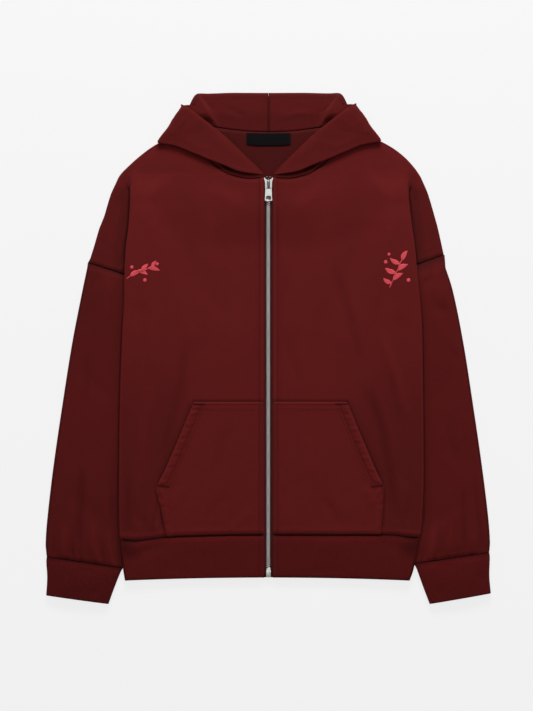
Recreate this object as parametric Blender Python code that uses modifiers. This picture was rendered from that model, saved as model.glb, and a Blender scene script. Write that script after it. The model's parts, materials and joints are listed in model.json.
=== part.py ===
"""A heavy cotton zip-up hoodie, laid flat on its back.

All sizes here are in millimetres and become metres in `new_object`. X runs towards the wearer's left, Y towards
the hood, Z up from the surface that the hoodie lies on. The zip closes on X = 0. "right" and "left" are the
wearer's: right is the -X side. Tables hold distances from the zip, so both sides read as positive numbers.

The two fronts lie on the back, with a roll of cloth down each side. The sleeves lie beside the body, just under
those rolls, and above the armholes each front makes a pleat over its own shoulder. The hood falls behind the back,
so its hidden layers make one rounded solid under the shoulders, and its front edges fold over as two flaps.
"""

import math

import bmesh
import bpy
from mathutils import Matrix, Vector

MM = 0.001
SEAM_GAP = 0.3  # between two pieces that are sewn together

# Cloth and rib
FLEECE = 2.0
RIB = 2.8
POCKET_CLOTH = 1.8
BODY_HOLLOW = 3.0  # between the back and the fronts where they lie on it
FRONT_TOP = FLEECE + BODY_HOLLOW + FLEECE
CAP_TOP = 5.0  # the front over the shoulder, under its own pleat

# Side rolls of the body
SIDE_SEAM_IN = 2.0  # how far the side seam lies in from the roll's centre
PLEAT_GAP = 1.1  # between a front's pleat and the shoulder under it
SWELL_WIDTH = 95.0  # the front rises to its roll over this width
SEAM_ROLL = 3.2  # radius of the front where it turns down at the shoulder
RIM_GAP = 0.9  # between the back and the front's edge over it, which turns on a tighter curve

# The hood's hidden layers
FALL_HEIGHT = 7.2
FALL_TOP, FALL_BOTTOM = 391.4, 240.0
FALL_HALF_WIDTH = 112.0
FALL_CORNER = 46.0
FALL_LAYERS = 4
LIFT = FALL_HEIGHT + 0.4  # the back's underside over the fall
LIFT_START, LIFT_END = 10.0, 92.0  # from the fall's edge, where the back starts to slope down and reaches the floor

# Zip
TAPE_EDGE, TAPE_WIDTH, TAPE_THICK, TAPE_BELOW = 3.9, 15.0, 0.6, 4.05
TEETH_HALF, TEETH_BELOW, TEETH_TOP = 3.6, 3.4, 5.9
CLOTH_EDGE = 6.5  # the fronts' edges beside the teeth
ZIP_BOTTOM = -351.0
TEETH_START = 254.0  # inside the slider, under its wedge
SLIDER_HALF, SLIDER_TOP, SLIDER_BOTTOM = 5.6, 264.0, 247.8
PLATE_Z = ((2.4, 3.15), (6.15, 7.0))  # the slider's two plates over the lifted back
WEDGE_HALF, WEDGE_BOTTOM, FLANGE = 1.2, 256.0, 0.8
CROWN_HALF, CROWN_BAR, CROWN_UNDER, CROWN_TOP = 2.6, 1.6, 8.9, 10.1
CROWN_Y = (249.6, 259.6)  # inside the crown's legs
HINGE_Y, HINGE_Z = 250.6, LIFT + 7.95
STOP_IN, STOP_LONG = 1.2, 1.6
BOX_TOP, BOX_BOTTOM = -339.6, -353.0
TAB_LONG, TAB_THICK = 22.6, 1.3
TAB_TOP_HALF, TAB_LOW_HALF = 4.9, 5.9
TAB_WINDOW, TAB_WINDOW_HALF = 4.6, 3.1
TAB_HOLE, TAB_HOLE_HALF = (1.7, 7.6), 3.7

# Neck label
LABEL_WIDE, LABEL_TALL, LABEL_THICK, LABEL_TOP = 68.0, 19.6, 0.6, 333.6

# Hem and side rows
HEM_SEAM, HEM_BOTTOM = -288.0, -354.0
ARMHOLE_IN = 226.0
ARMHOLE_IN_Y = {"right": 115.5, "left": 128.5}
ARMHOLE_OUT_Y = {"right": 132.6, "left": 145.0}
ARMHOLE_SLOPE = {"right": 0.33, "left": 0.36}

BURGUNDY = (0.098, 0.012, 0.012, 1.0)
DARK_RIB = (0.062, 0.006, 0.007, 1.0)
NIGHT = (0.012, 0.011, 0.012, 1.0)
SILVER = (0.62, 0.62, 0.60, 1.0)

SIDES = {"right": -1.0, "left": 1.0}

# The body's outline, from the zip: the roll's outer edge below the shoulder, and the shoulder's own edge above.
BODY = {
    "columns": ("y", "right", "left"),
    "rows": (
        (345.0, 205.0, 205.0),
        (262.0, 211.0, 213.5),
        (240.0, 213.4, 216.0),
        (190.0, 216.6, 222.0),
        (160.0, 220.4, 226.2),
        (125.0, 222.6, 229.6),
        (62.0, 224.4, 236.0),
        (29.0, 226.3, 238.0),
        (-68.0, 229.9, 239.4),
        (-183.0, 231.4, 240.2),
        (-240.0, 231.6, 239.2),
        (-280.0, 231.0, 236.4),
        (-292.0, 229.6, 233.6),
    ),
}
SHOULDER = {
    "columns": ("y", "right", "left"),
    "rows": (
        (346.0, 104.0, 104.0),
        (331.0, 143.0, 150.0),
        (316.0, 174.5, 184.0),
        (302.0, 196.7, 206.0),
        (286.0, 213.5, 222.0),
        (269.5, 226.8, 234.0),
        (256.0, 234.2, 240.4),
        (238.5, 243.2, 247.6),
        (201.0, 256.0, 258.6),
        (187.0, 262.0, 262.4),
        (145.0, 274.4, 271.8),
        (132.0, 280.0, 274.8),
    ),
}
# The front neckline beside the zip, and above it up to the shoulder point
NECK_LOW = {
    "columns": ("x", "y"),
    "rows": ((6.5, 266.2), (16.0, 264.0), (29.0, 263.0), (45.0, 265.2), (66.0, 271.8)),
}
NECK_HIGH = {
    "columns": ("y", "x"),
    "rows": ((271.8, 66.0), (283.5, 83.5), (295.0, 91.5), (308.0, 96.5), (322.0, 99.0), (346.0, 99.0)),
}
BACK_NECK_MIDDLE, BACK_NECK_RISE = 334.6, 10.6

# The roll down each side: its underside and radius, how far the pleat reaches back under it, and how much of the
# pleat's height and of its turn there is
ROLL = {
    "columns": ("y", "below", "radius", "depth", "height", "turn"),
    "rows": (
        (345.0, 6.1, 3.2, 2.0, 0.0, 0.0),
        (286.0, 6.1, 3.2, 2.0, 0.0, 0.0),
        (270.0, 6.1, 3.2, 2.0, 0.15, 0.0),
        (256.0, 6.1, 3.2, 2.0, 0.45, 0.0),
        (243.0, 6.1, 3.2, 6.0, 1.0, 1.0),
        (205.0, 6.1, 3.2, 14.0, 1.0, 1.0),
        (165.0, 6.1, 3.3, 17.0, 1.0, 1.0),
        (128.0, 6.1, 3.4, 14.0, 1.0, 1.0),
        (104.0, 6.0, 3.5, 2.0, 1.0, 1.0),
        (88.0, 5.2, 3.7, 2.0, 1.0, 1.0),
        (50.0, 4.0, 4.0, 2.0, 1.0, 1.0),
        (-200.0, 3.6, 4.0, 2.0, 1.0, 1.0),
        (-287.0, 1.0, 4.0, 2.0, 1.0, 1.0),
        (-300.0, 1.0, 4.0, 2.0, 1.0, 1.0),
    ),
}

# Long soft folds in the fronts: the ends of each one's line, its half width and its height
FRONT_FOLDS = {
    "columns": ("x1", "y1", "x2", "y2", "half", "height"),
    "rows": {
        "right": (
            (188.0, 208.0, 120.0, 20.0, 26.0, 1.1),
            (150.0, 190.0, 74.0, 60.0, 24.0, -0.8),
            (196.0, 60.0, 196.0, -190.0, 15.0, -1.2),
            (210.0, -215.0, 182.0, -276.0, 11.0, 0.8),
        ),
        "left": (
            (196.0, 200.0, 132.0, 10.0, 27.0, 1.1),
            (150.0, 182.0, 90.0, 44.0, 24.0, -0.8),
            (204.0, 40.0, 206.0, -200.0, 15.0, -1.2),
            (214.0, -222.0, 194.0, -275.0, 11.0, 0.7),
        ),
    },
}

# The sleeves' outer and inner edges from armhole to cuff
SLEEVE = {
    "columns": ("down", "out_y", "right", "left", "in_y", "height"),
    "rows": (
        (0.00, 130.0, 280.0, 272.8, 113.0, 6.0),
        (0.10, 90.0, 288.4, 285.6, 72.0, 9.5),
        (0.28, 10.0, 304.0, 301.8, -6.0, 10.0),
        (0.50, -87.0, 319.4, 317.0, -100.0, 10.0),
        (0.72, -185.0, 333.6, 331.2, -196.0, 10.5),
        (0.88, -262.0, 342.6, 340.6, -272.0, 11.5),
        (0.96, -300.0, 345.4, 343.2, -314.0, 11.6),
        (0.985, -311.5, 344.4, 342.6, -327.6, 9.5),
        (1.00, -318.5, 343.6, 342.0, -336.0, 9.5),
    ),
}
CUFF = {
    "columns": ("down", "out_y", "out_x", "in_y", "in_x", "height"),
    "rows": (
        (0.00, -319.2, 342.6, -336.6, 231.6, 9.6),
        (0.12, -326.0, 343.4, -343.0, 234.6, 9.6),
        (0.55, -352.0, 342.4, -366.0, 241.0, 10.4),
        (1.00, -378.4, 344.4, -395.0, 249.4, 9.4),
    ),
}
SLEEVE_FOLDS = {
    "columns": ("down", "across", "slope", "half", "depth"),
    "rows": (
        (0.16, 0.62, 0.5, 0.07, 1.0),
        (0.42, 0.40, -0.35, 0.06, 0.8),
        (0.66, 0.60, 0.4, 0.06, 0.9),
        (0.84, 0.45, -0.4, 0.05, 1.1),
    ),
}

# Pocket outline on the wearer's right, from the zip: the left one differs by POCKET_LEFT_OUT at its outer edges
POCKET = {
    "columns": ("y", "inner", "outer"),
    "rows": (
        (-82.6, 9.5, 115.5),
        (-92.0, 9.5, 119.8),
        (-120.0, 9.5, 131.4),
        (-160.0, 9.5, 148.4),
        (-190.0, 9.5, 161.6),
        (-210.5, 9.5, 172.0),
        (-217.0, 9.5, 174.6),
        (-243.0, 9.5, 167.8),
        (-287.4, 9.5, 158.6),
    ),
}
POCKET_LEFT_OUT = {
    "columns": ("y", "more"),
    "rows": ((-82.6, 6.0), (-210.5, 5.4), (-217.0, 3.8), (-243.0, 10.0), (-287.4, 16.0)),
}

# The hood, station by station from the centre back round to the zip. Each has its seam on the neckline, a point
# low in its cloth, the roll or fold that it turns over, and its free edge, with heights over the lifted back.
# rise is how much higher the station lies on the wearer's left.
HOOD = {
    "columns": (
        "seam_x", "seam_y", "seam_z", "low_x", "low_y", "low_z", "roll_x", "roll_y", "roll_z", "turn",
        "edge_x", "edge_y", "edge_z", "rise",
    ),
    "rows": (
        (0.15, 335.2, 1.0, 0.15, 350.0, 1.1, 0.15, 366.0, 1.6, 0.0, 0.15, 384.0, 2.0, 0.0),
        (26.0, 335.8, 1.0, 26.0, 350.0, 1.1, 26.0, 366.0, 1.6, 0.0, 26.0, 384.0, 2.0, 0.0),
        (52.0, 338.4, 1.0, 53.0, 352.0, 1.1, 54.0, 367.0, 1.6, 0.0, 56.0, 384.0, 2.0, 0.0),
        (76.0, 341.9, 1.0, 80.0, 353.0, 1.1, 86.0, 367.0, 1.6, 0.0, 95.0, 383.0, 2.0, 0.4),
        (81.0, 342.8, 1.0, 87.0, 354.0, 3.6, 93.0, 367.0, 4.4, 0.0, 104.0, 384.0, 3.4, 0.8),
        (93.5, 346.2, 1.4, 101.0, 356.0, 3.8, 109.0, 366.0, 4.2, 0.0, 114.6, 375.0, 4.0, 1.0),
        (98.5, 341.5, 8.6, 119.0, 351.0, 7.4, 141.5, 362.0, 8.8, 0.0, 133.8, 375.4, 8.6, 1.6),
        (98.5, 326.0, 9.2, 128.0, 336.0, 9.0, 157.0, 341.0, 12.2, 1.0, 124.6, 371.0, 12.4, 1.8),
        (97.4, 314.0, 9.2, 132.0, 315.4, 9.0, 173.0, 319.2, 12.2, 1.0, 108.0, 358.6, 12.0, 2.2),
        (94.1, 302.0, 9.2, 117.0, 309.0, 9.0, 146.0, 313.4, 12.2, 1.0, 88.0, 343.8, 10.6, 1.6),
        (87.3, 289.6, 8.8, 98.0, 300.0, 8.8, 116.0, 301.6, 12.2, 1.0, 68.0, 328.0, 9.6, 1.0),
        (76.4, 280.8, 6.8, 80.0, 290.0, 6.6, 94.0, 292.6, 12.2, 0.55, 56.0, 317.0, 9.2, 0.8),
        (66.0, 272.2, 6.4, 67.0, 280.8, 6.4, 70.6, 284.0, 11.8, 0.45, 42.0, 303.4, 8.8, 0.6),
        (45.0, 265.6, 6.2, 43.5, 272.6, 6.4, 43.0, 273.8, 10.4, 0.0, 28.0, 290.0, 8.2, 0.4),
        (29.0, 263.4, 6.0, 27.0, 270.0, 6.2, 26.0, 271.2, 9.4, 0.0, 17.0, 279.6, 7.8, 0.2),
        (16.0, 264.4, 6.0, 15.0, 268.8, 6.2, 14.4, 270.0, 7.8, 0.0, 11.4, 274.2, 7.2, 0.0),
        (8.4, 266.2, 6.0, 8.4, 267.8, 6.2, 8.4, 269.2, 6.8, 0.0, 8.4, 271.4, 6.6, 0.0),
    ),
}
# How far out the hood reaches as its top turns down behind, and what share of its height it goes down by, for the
# stations that do
HOOD_BACK = {
    "columns": ("station", "out_x", "out_y", "depth"),
    "rows": ((0, 0.0, 9.4, 0.91), (3, 0.0, 9.4, 0.91), (4, 6.4, 7.6, 0.91), (5, 8.8, -1.6, 0.9), (6, 0.9, 1.6, 0.3)),
}
HOOD_DROP = ((0.72, 0.08), (0.97, 0.3), (1.0, 0.66), (1.0, 1.0))  # shares of the reach and of the depth
HOOD_ROLL_RUN = 3.2  # how far the cloth runs straight into its roll from below


# ---------------------------------------------------------------- curves and surfaces


def smooth(low, high, value):
    """0 below low, 1 above high, with no corner at either."""
    t = min(1.0, max(0.0, (value - low) / (high - low)))
    return t * t * (3.0 - 2.0 * t)


def mix(a, b, t):
    return a + (b - a) * t


def read(table, column, key):
    """A column of a table at a value of its first column, on a curve through the rows."""
    rows = sorted(table["rows"])
    at = table["columns"].index(column)
    keys = [row[0] for row in rows]
    values = [row[at] for row in rows]
    if key <= keys[0]:
        return values[0]
    if key >= keys[-1]:
        return values[-1]
    i = max(n for n in range(len(keys) - 1) if keys[n] <= key)
    slopes = []
    for n in (i, i + 1):
        before, after = max(0, n - 1), min(len(keys) - 1, n + 1)
        slopes.append((values[after] - values[before]) / (keys[after] - keys[before]))
    span = keys[i + 1] - keys[i]
    t = (key - keys[i]) / span
    return (
        values[i] * (2 * t**3 - 3 * t**2 + 1)
        + values[i + 1] * (3 * t**2 - 2 * t**3)
        + slopes[0] * span * (t**3 - 2 * t**2 + t)
        + slopes[1] * span * (t**3 - t**2)
    )


def steps(low, high, count):
    return [mix(low, high, n / (count - 1)) for n in range(count)]


def outside_fall(x, y):
    """Distance outside the outline of the hood's hidden layers, negative inside."""
    middle = (FALL_TOP + FALL_BOTTOM) / 2
    dx = abs(x) - (FALL_HALF_WIDTH - FALL_CORNER)
    dy = abs(y - middle) - ((FALL_TOP - FALL_BOTTOM) / 2 - FALL_CORNER)
    return math.hypot(max(dx, 0.0), max(dy, 0.0)) + min(max(dx, dy), 0.0) - FALL_CORNER


def lift(x, y):
    """How far the hood's hidden layers raise the back here."""
    return LIFT * (1.0 - smooth(LIFT_START, LIFT_END, outside_fall(x, y)))


def near_line(x, y, x1, y1, x2, y2, half):
    """1 on a line between two points, falling to 0 at half its width and past its ends."""
    length = math.hypot(x2 - x1, y2 - y1)
    along = ((x - x1) * (x2 - x1) + (y - y1) * (y2 - y1)) / length
    beside = abs((x - x1) * (y2 - y1) - (y - y1) * (x2 - x1)) / length
    past = max(0.0, -along, along - length)
    return 1.0 - smooth(0.0, half, math.hypot(beside, past))


def front_folds(side, x, y):
    return sum(row[5] * near_line(x, y, *row[:5]) for row in FRONT_FOLDS["rows"][side])


def front_top(side, x, y):
    """Top of a front at a distance x from the zip, inside its roll."""
    radius = read(ROLL, "radius", y)
    roll_top = mix(FRONT_TOP, read(ROLL, "below", y) + 2 * radius, read(ROLL, "height", y))
    edge = read(BODY, side, y)
    rise = smooth(edge - SWELL_WIDTH, edge - radius, x)
    return lift(x, y) + mix(FRONT_TOP, roll_top, rise) + front_folds(side, x, y)


def material(name, colour, roughness, metallic=0.0):
    made = bpy.data.materials.new(name)
    made.use_nodes = True
    shader = made.node_tree.nodes["Principled BSDF"]
    shader.inputs["Base Color"].default_value = colour
    shader.inputs["Roughness"].default_value = roughness
    shader.inputs["Metallic"].default_value = metallic
    made.diffuse_color = colour
    return made


def new_object(name, points, faces, finish, up=None):
    """An object from points in millimetres, joined where they meet. With `up`, its first face looks up or down."""
    mesh = bpy.data.meshes.new(name)
    mesh.from_pydata([[c * MM for c in p] for p in points], [], faces)
    work = bmesh.new()
    work.from_mesh(mesh)
    bmesh.ops.remove_doubles(work, verts=work.verts, dist=1e-6)
    bmesh.ops.recalc_face_normals(work, faces=work.faces)
    work.faces.ensure_lookup_table()
    if up is not None and (work.faces[0].normal.z > 0) != up:
        bmesh.ops.reverse_faces(work, faces=work.faces)
    work.to_mesh(mesh)
    work.free()
    mesh.materials.append(finish)
    mesh.shade_smooth()
    made = bpy.data.objects.new(name, mesh)
    PARTS.objects.link(made)
    return made


def grid_faces(rows):
    """Points and quads of a grid whose rows may have gaps, given as None."""
    points, number, faces = [], {}, []
    for j, row in enumerate(rows):
        for k, point in enumerate(row):
            if point is not None:
                number[j, k] = len(points)
                points.append(point)
    for j in range(len(rows) - 1):
        for k in range(len(rows[j]) - 1):
            corners = ((j, k), (j, k + 1), (j + 1, k + 1), (j + 1, k))
            if all(corner in number for corner in corners):
                faces.append([number[corner] for corner in corners])
    return points, faces


def cloth(name, rows, thick, finish, up=True, offset=-1.0):
    """A wall of cloth under, over or about a grid of points. `up` says which way its first face looks."""
    made = new_object(name, *grid_faces(rows), finish, up)
    wall = made.modifiers.new("wall", "SOLIDIFY")
    wall.thickness = thick * MM
    wall.offset = offset
    return made


# ---------------------------------------------------------------- the body

ROLL_ANGLES = (30, 60, 90, 120, 150, 180)
FRONT_ROWS = (
    336.0, 326.0, 314.0, 302.0, 289.0, "neck", 256.0, 243.0, 228.0, 208.0, 184.0, 160.0, "over armhole", "armhole",
    104.0, 88.0, 50.0, 0.0, -50.0, -150.0, -196.0, -236.0, -264.0, HEM_SEAM + SEAM_GAP,
)
NECK_COLUMNS = (CLOTH_EDGE, 16.0, 29.0, 45.0, 66.0)
CHEST_SHARES = (0.22, 0.44, 0.64, 0.8, 0.91, 1.0)
CAP_SHARES = (0.3, 0.6, 0.85, 1.0)
NECK_ROW_Y = NECK_LOW["rows"][-1][1]
SLANTED_ROWS = {"over armhole": 8.0, "armhole": 0.0}  # heights over the armhole seam, which these rows follow


def armhole_y(side, x):
    """The armhole seam's height at a distance x from the zip."""
    return ARMHOLE_IN_Y[side] + ARMHOLE_SLOPE[side] * (x - ARMHOLE_IN)


def slant(side, y):
    """How much longer a step across the shoulder's outline is along X than square to it."""
    slope = (read(SHOULDER, side, y - 4.0) - read(SHOULDER, side, y + 4.0)) / 8.0
    return math.hypot(1.0, slope)


def front_row(side, label):
    """One row across a front, from the zip or neckline over the roll and pleat to the shoulder's edge."""
    over = SLANTED_ROWS.get(label)

    def at_y(x):
        return y if over is None or x < ARMHOLE_IN else armhole_y(side, x) + over

    y = NECK_ROW_Y if label == "neck" else label if over is None else armhole_y(side, ARMHOLE_IN) + over
    radius, below = read(ROLL, "radius", y), read(ROLL, "below", y)
    depth, height, turn = (read(ROLL, c, y) for c in ("depth", "height", "turn"))
    on_shoulder = label == "armhole" or y > armhole_y(side, ARMHOLE_IN)
    rim = read(SHOULDER, side, y if over is None else ARMHOLE_OUT_Y[side] + over)
    turn_down = SEAM_ROLL * min(slant(side, y), 2.0)
    cap_end = rim - turn_down
    start = min(read(BODY, side, y) - radius, cap_end - 16.0) if on_shoulder else read(BODY, side, y) - radius

    inner = max(NECK_COLUMNS[-1], read(NECK_HIGH, "x", y))
    row = []
    for x in NECK_COLUMNS[:-1]:
        row.append(None if y > NECK_ROW_Y else (x, read(NECK_LOW, "y", x) if label == "neck" else y))
    chest = [inner] + [mix(inner, start, share) for share in CHEST_SHARES]
    row += [(x, y) for x in chest]
    row = [p and (p[0], p[1], front_top(side, p[0], p[1])) for p in row]

    # the roll, the pleat under it and the shoulder, as a turned form and as a flat one, mixed by the table
    top = front_top(side, start, y)
    turned = []
    for degrees in ROLL_ANGLES:
        angle = math.radians(degrees)
        turned.append((start + radius * math.sin(angle), below + radius * (1.0 + math.cos(angle))))
    turned.append((start - depth * 0.5, below))
    turned.append((start - depth, below))
    if on_shoulder:
        cap_top = below - PLEAT_GAP
        turned.append((start - depth - 0.5, below - PLEAT_GAP / 2))
        turned.append((start - depth, cap_top))
        turned += [(mix(start - depth, cap_end, share), cap_top) for share in CAP_SHARES]
        for n, (x, z) in enumerate(turned):
            share = (n + 1) / len(turned)
            flat_x = mix(start, cap_end, share)
            flat_z = mix(FRONT_TOP, CAP_TOP + 1.0, share)
            x, z = mix(flat_x, x, turn), mix(flat_z, z, height)
            row.append((x, at_y(x), z + lift(x, at_y(x))))
        edge_z = row[-1][2] - lift(rim, y)
        for degrees in (35, 65, 90):
            angle = math.radians(degrees)
            x = cap_end + turn_down * math.sin(angle)
            z = mix(edge_z, FLEECE + RIM_GAP, 1.0 - math.cos(angle))
            row.append((x, at_y(x), z + lift(x, at_y(x))))
    else:
        row += [(x, y, z) for x, z in turned]
        row += [None] * (2 + len(CAP_SHARES) + 3)
    return [p and (SIDES[side] * p[0], p[1], p[2]) for p in row]


def make_front(side):
    rows = [front_row(side, label) for label in FRONT_ROWS]
    return cloth(f"front_{side}", rows, FLEECE, BODY_FINISH)


def shoulder_y(side, x):
    """The shoulder outline read the other way: its height at a distance x from the zip."""
    low, high = 132.0, 346.0
    for _ in range(24):
        middle = (low + high) / 2
        if read(SHOULDER, side, middle) > x:
            low = middle
        else:
            high = middle
    return low


BACK_COLUMNS = (0.0, 28.0, 56.0, 80.0, 98.0, 118.0, 140.0, 162.0, 184.0, 204.0)
BACK_CAP_COLUMNS = (0.2, 0.42, 0.66, 0.88, 1.0)
BACK_SHARES = (0.0, 0.12, 0.24, 0.34, 0.43, 0.52, 0.64, 0.8, 1.0)
BACK_ROWS = (104.0, 88.0, 50.0, 0.0, -50.0, -150.0, -196.0, -236.0, -264.0, HEM_SEAM + SEAM_GAP)
BACK_EDGE_RISE = 26.0


def back_top_y(side, x):
    if x <= BACK_COLUMNS[4]:
        return BACK_NECK_MIDDLE + BACK_NECK_RISE * (x / BACK_COLUMNS[4]) ** 2
    return shoulder_y(side, x)


def side_seam(side, y):
    return read(BODY, side, y) - read(ROLL, "radius", y) - SIDE_SEAM_IN


def back_half(side):
    """Columns of the back from the middle to one side, as rows from the neck to the hem."""
    seam_x = side_seam(side, BACK_ROWS[0]) - SEAM_GAP
    rim = read(SHOULDER, side, ARMHOLE_OUT_Y[side] + 8.0)
    columns = [*BACK_COLUMNS, seam_x] + [mix(seam_x, rim, share) for share in BACK_CAP_COLUMNS]
    rows = []
    for share in BACK_SHARES:
        row = []
        for x in columns:
            y = mix(back_top_y(side, x), armhole_y(side, max(x, seam_x)), share)
            row.append((x, y, lift(x, y)))
        rows.append(row)
    for y in BACK_ROWS:
        edge = side_seam(side, y) - SEAM_GAP
        rise = read(ROLL, "below", y) * smooth(-104.0, -50.0, -y)
        row = []
        for k, x in enumerate(columns):
            if x <= seam_x:
                x = edge if k == len(BACK_COLUMNS) else x
                row.append((x, y, lift(x, y) + rise * smooth(edge - BACK_EDGE_RISE, edge, x)))
            else:
                row.append(None)
        rows.append(row)
    return [[p and (SIDES[side] * p[0], p[1], p[2]) for p in row] for row in rows]


def make_back():
    right, left = back_half("right"), back_half("left")
    rows = [list(reversed(a))[:-1] + b for a, b in zip(right, left)]
    return cloth("back", rows, FLEECE, BODY_FINISH, up=False)


# ---------------------------------------------------------------- sleeves, cuffs and hem


def tube_ring(start, end, height, radius, tops, folds=0.0):
    """A flattened ring on the surface between two plan points: its floor, its outer end, its top and its inner end."""
    (x0, y0), (x1, y1) = start, end
    length = math.hypot(x1 - x0, y1 - y0)
    ring = []

    def add(along, z):
        share = along / length
        ring.append((mix(x0, x1, share), mix(y0, y1, share), z))

    for share in (0.0, 0.35, 0.7, 1.0):
        add(mix(radius, length - radius, share), 0.0)
    for degrees in (36, 72, 108, 144):
        angle = math.radians(degrees)
        add(length - radius + radius * math.sin(angle), radius * (1.0 - math.cos(angle)))
    for n in range(tops + 1):
        share = 1.0 - n / tops
        crown = (height - 2 * radius) * math.sin(math.pi * share) ** 0.6
        dent = folds(share) if folds else 0.0
        add(mix(radius, length - radius, share), 2 * radius + crown + dent)
    for degrees in (144, 108, 72, 36):
        angle = math.radians(degrees)
        add(radius - radius * math.sin(angle), radius * (1.0 - math.cos(angle)))
    ring.append(ring[0])
    return ring


SLEEVE_RADIUS = 2.9
ARMHOLE_GAP = 0.7
SLEEVE_STEPS = (0.0, 0.05, 0.1, 0.2, 0.3, 0.42, 0.54, 0.66, 0.76, 0.86, 0.93, 0.965, 0.985, 1.0)
BODY_CLEAR = 0.9


def sleeve_inner_x(side, y):
    """The sleeve's inner edge, tucked under the body's roll and clear of it."""
    roll, below = read(ROLL, "radius", y), read(ROLL, "below", y)
    centre = read(BODY, side, y) - roll
    apart = SLEEVE_RADIUS + roll + BODY_CLEAR
    up = below + roll - SLEEVE_RADIUS
    return centre + math.sqrt(max(apart**2 - up**2, 16.0)) - SLEEVE_RADIUS


def sleeve_dent(down):
    def dent(across):
        total = 0.0
        for at, over, slope, half, depth in SLEEVE_FOLDS["rows"]:
            line = at + slope * (across - over) * 0.3
            total -= depth * (1.0 - smooth(0.0, half, abs(down - line))) * (1.0 - smooth(0.15, 0.5, abs(across - over)))
        return total

    return dent


def sleeve_ends(side, down):
    """The plan points of the sleeve's inner and outer edges at a share of its length."""
    out_x, out_y, in_y = (read(SLEEVE, c, down) for c in (side, "out_y", "in_y"))
    in_x = sleeve_inner_x(side, in_y)
    if down == 0.0:
        out_y, in_y = (armhole_y(side, x) - ARMHOLE_GAP for x in (out_x, in_x))
    return (in_x, in_y), (out_x, out_y)


def make_sleeve(side):
    rows = []
    for down in SLEEVE_STEPS:
        height = read(SLEEVE, "height", down)
        ring = tube_ring(*sleeve_ends(side, down), height, SLEEVE_RADIUS, 8, sleeve_dent(down))
        rows.append([(SIDES[side] * x, y, z) for x, y, z in ring])
    return cloth(f"sleeve_{side}", rows, FLEECE, BODY_FINISH, up=False)


CUFF_RADIUS = 3.6
CUFF_GAP = 1.0
CUFF_STEPS = (0.0, 0.12, 0.5, 0.92, 1.0)


def make_cuff(side):
    rows = []
    (top_in_x, top_in_y), (top_out_x, top_out_y) = sleeve_ends(side, 1.0)
    first = CUFF["rows"][0]
    for down in CUFF_STEPS:
        out_y, out_x, in_y, in_x, height = (read(CUFF, c, down) for c in CUFF["columns"][1:])
        fade = 1.0 - down
        start = (in_x + (top_in_x - first[4]) * fade, in_y + (top_in_y - CUFF_GAP - first[3]) * fade)
        end = (out_x + (top_out_x - first[2]) * fade, out_y + (top_out_y - CUFF_GAP - first[1]) * fade)
        ring = tube_ring(start, end, height, CUFF_RADIUS, 6)
        rows.append([(SIDES[side] * x, y, z) for x, y, z in ring])
    return cloth(f"cuff_{side}", rows, RIB, RIB_FINISH, up=False)


HEM = {
    "columns": ("y", "right", "left"),
    "rows": (
        (HEM_SEAM, 229.4, 233.8),
        (-297.0, 229.8, 232.4),
        (-325.0, 227.0, 227.6),
        (-342.0, 224.6, 223.4),
        (HEM_BOTTOM, 222.6, 218.8),
    ),
}
HEM_DROP = 2.6  # the band's ends hang this much lower at the sides than at the zip
HEM_RADIUS = 4.4
HEM_ROWS = (HEM_SEAM, -296.0, -322.0, -345.0, HEM_BOTTOM)
HEM_SHARES = (0.0, 0.25, 0.5, 0.72, 0.88, 1.0)
HEM_TOP = 8.0


def make_hem():
    """The hem's rib band, from one edge of the zip round the back to the other."""
    rows = []
    for y in HEM_ROWS:
        half_rows = []
        for side, sign in SIDES.items():
            start = read(HEM, side, y) - HEM_RADIUS
            half = []
            for share in HEM_SHARES:
                z = mix(HEM_TOP, 2 * HEM_RADIUS, smooth(0.5, 1.0, share))
                half.append((mix(CLOTH_EDGE, start, share), z))
            for degrees in ROLL_ANGLES:
                angle = math.radians(degrees)
                half.append((start + HEM_RADIUS * math.sin(angle), HEM_RADIUS * (1.0 + math.cos(angle))))
            half += [(start * share, 0.0) for share in (0.75, 0.5, 0.25)]
            drop = HEM_DROP * smooth(HEM_SEAM, HEM_BOTTOM, y) if y != HEM_SEAM else 0.0
            half_rows.append([(sign * x, y - drop * (x / start) ** 2, z) for x, z in half])
        rows.append(half_rows[0] + [(0.0, y, 0.0)] + list(reversed(half_rows[1])))
    return cloth("hem_band", rows, RIB, RIB_FINISH)


POCKET_GAP = 0.6


def make_pocket(side):
    rows = []
    for y in (row[0] for row in POCKET["rows"]):
        outer = read(POCKET, "outer", y) + (read(POCKET_LEFT_OUT, "more", y) if side == "left" else 0.0)
        row = []
        for x in steps(read(POCKET, "inner", y), outer, 9):
            row.append((SIDES[side] * x, y, front_top(side, x, y) + POCKET_GAP + POCKET_CLOTH))
        rows.append(row)
    return cloth(f"pocket_{side}", rows, POCKET_CLOTH, BODY_FINISH)


# ---------------------------------------------------------------- the hood


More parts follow.
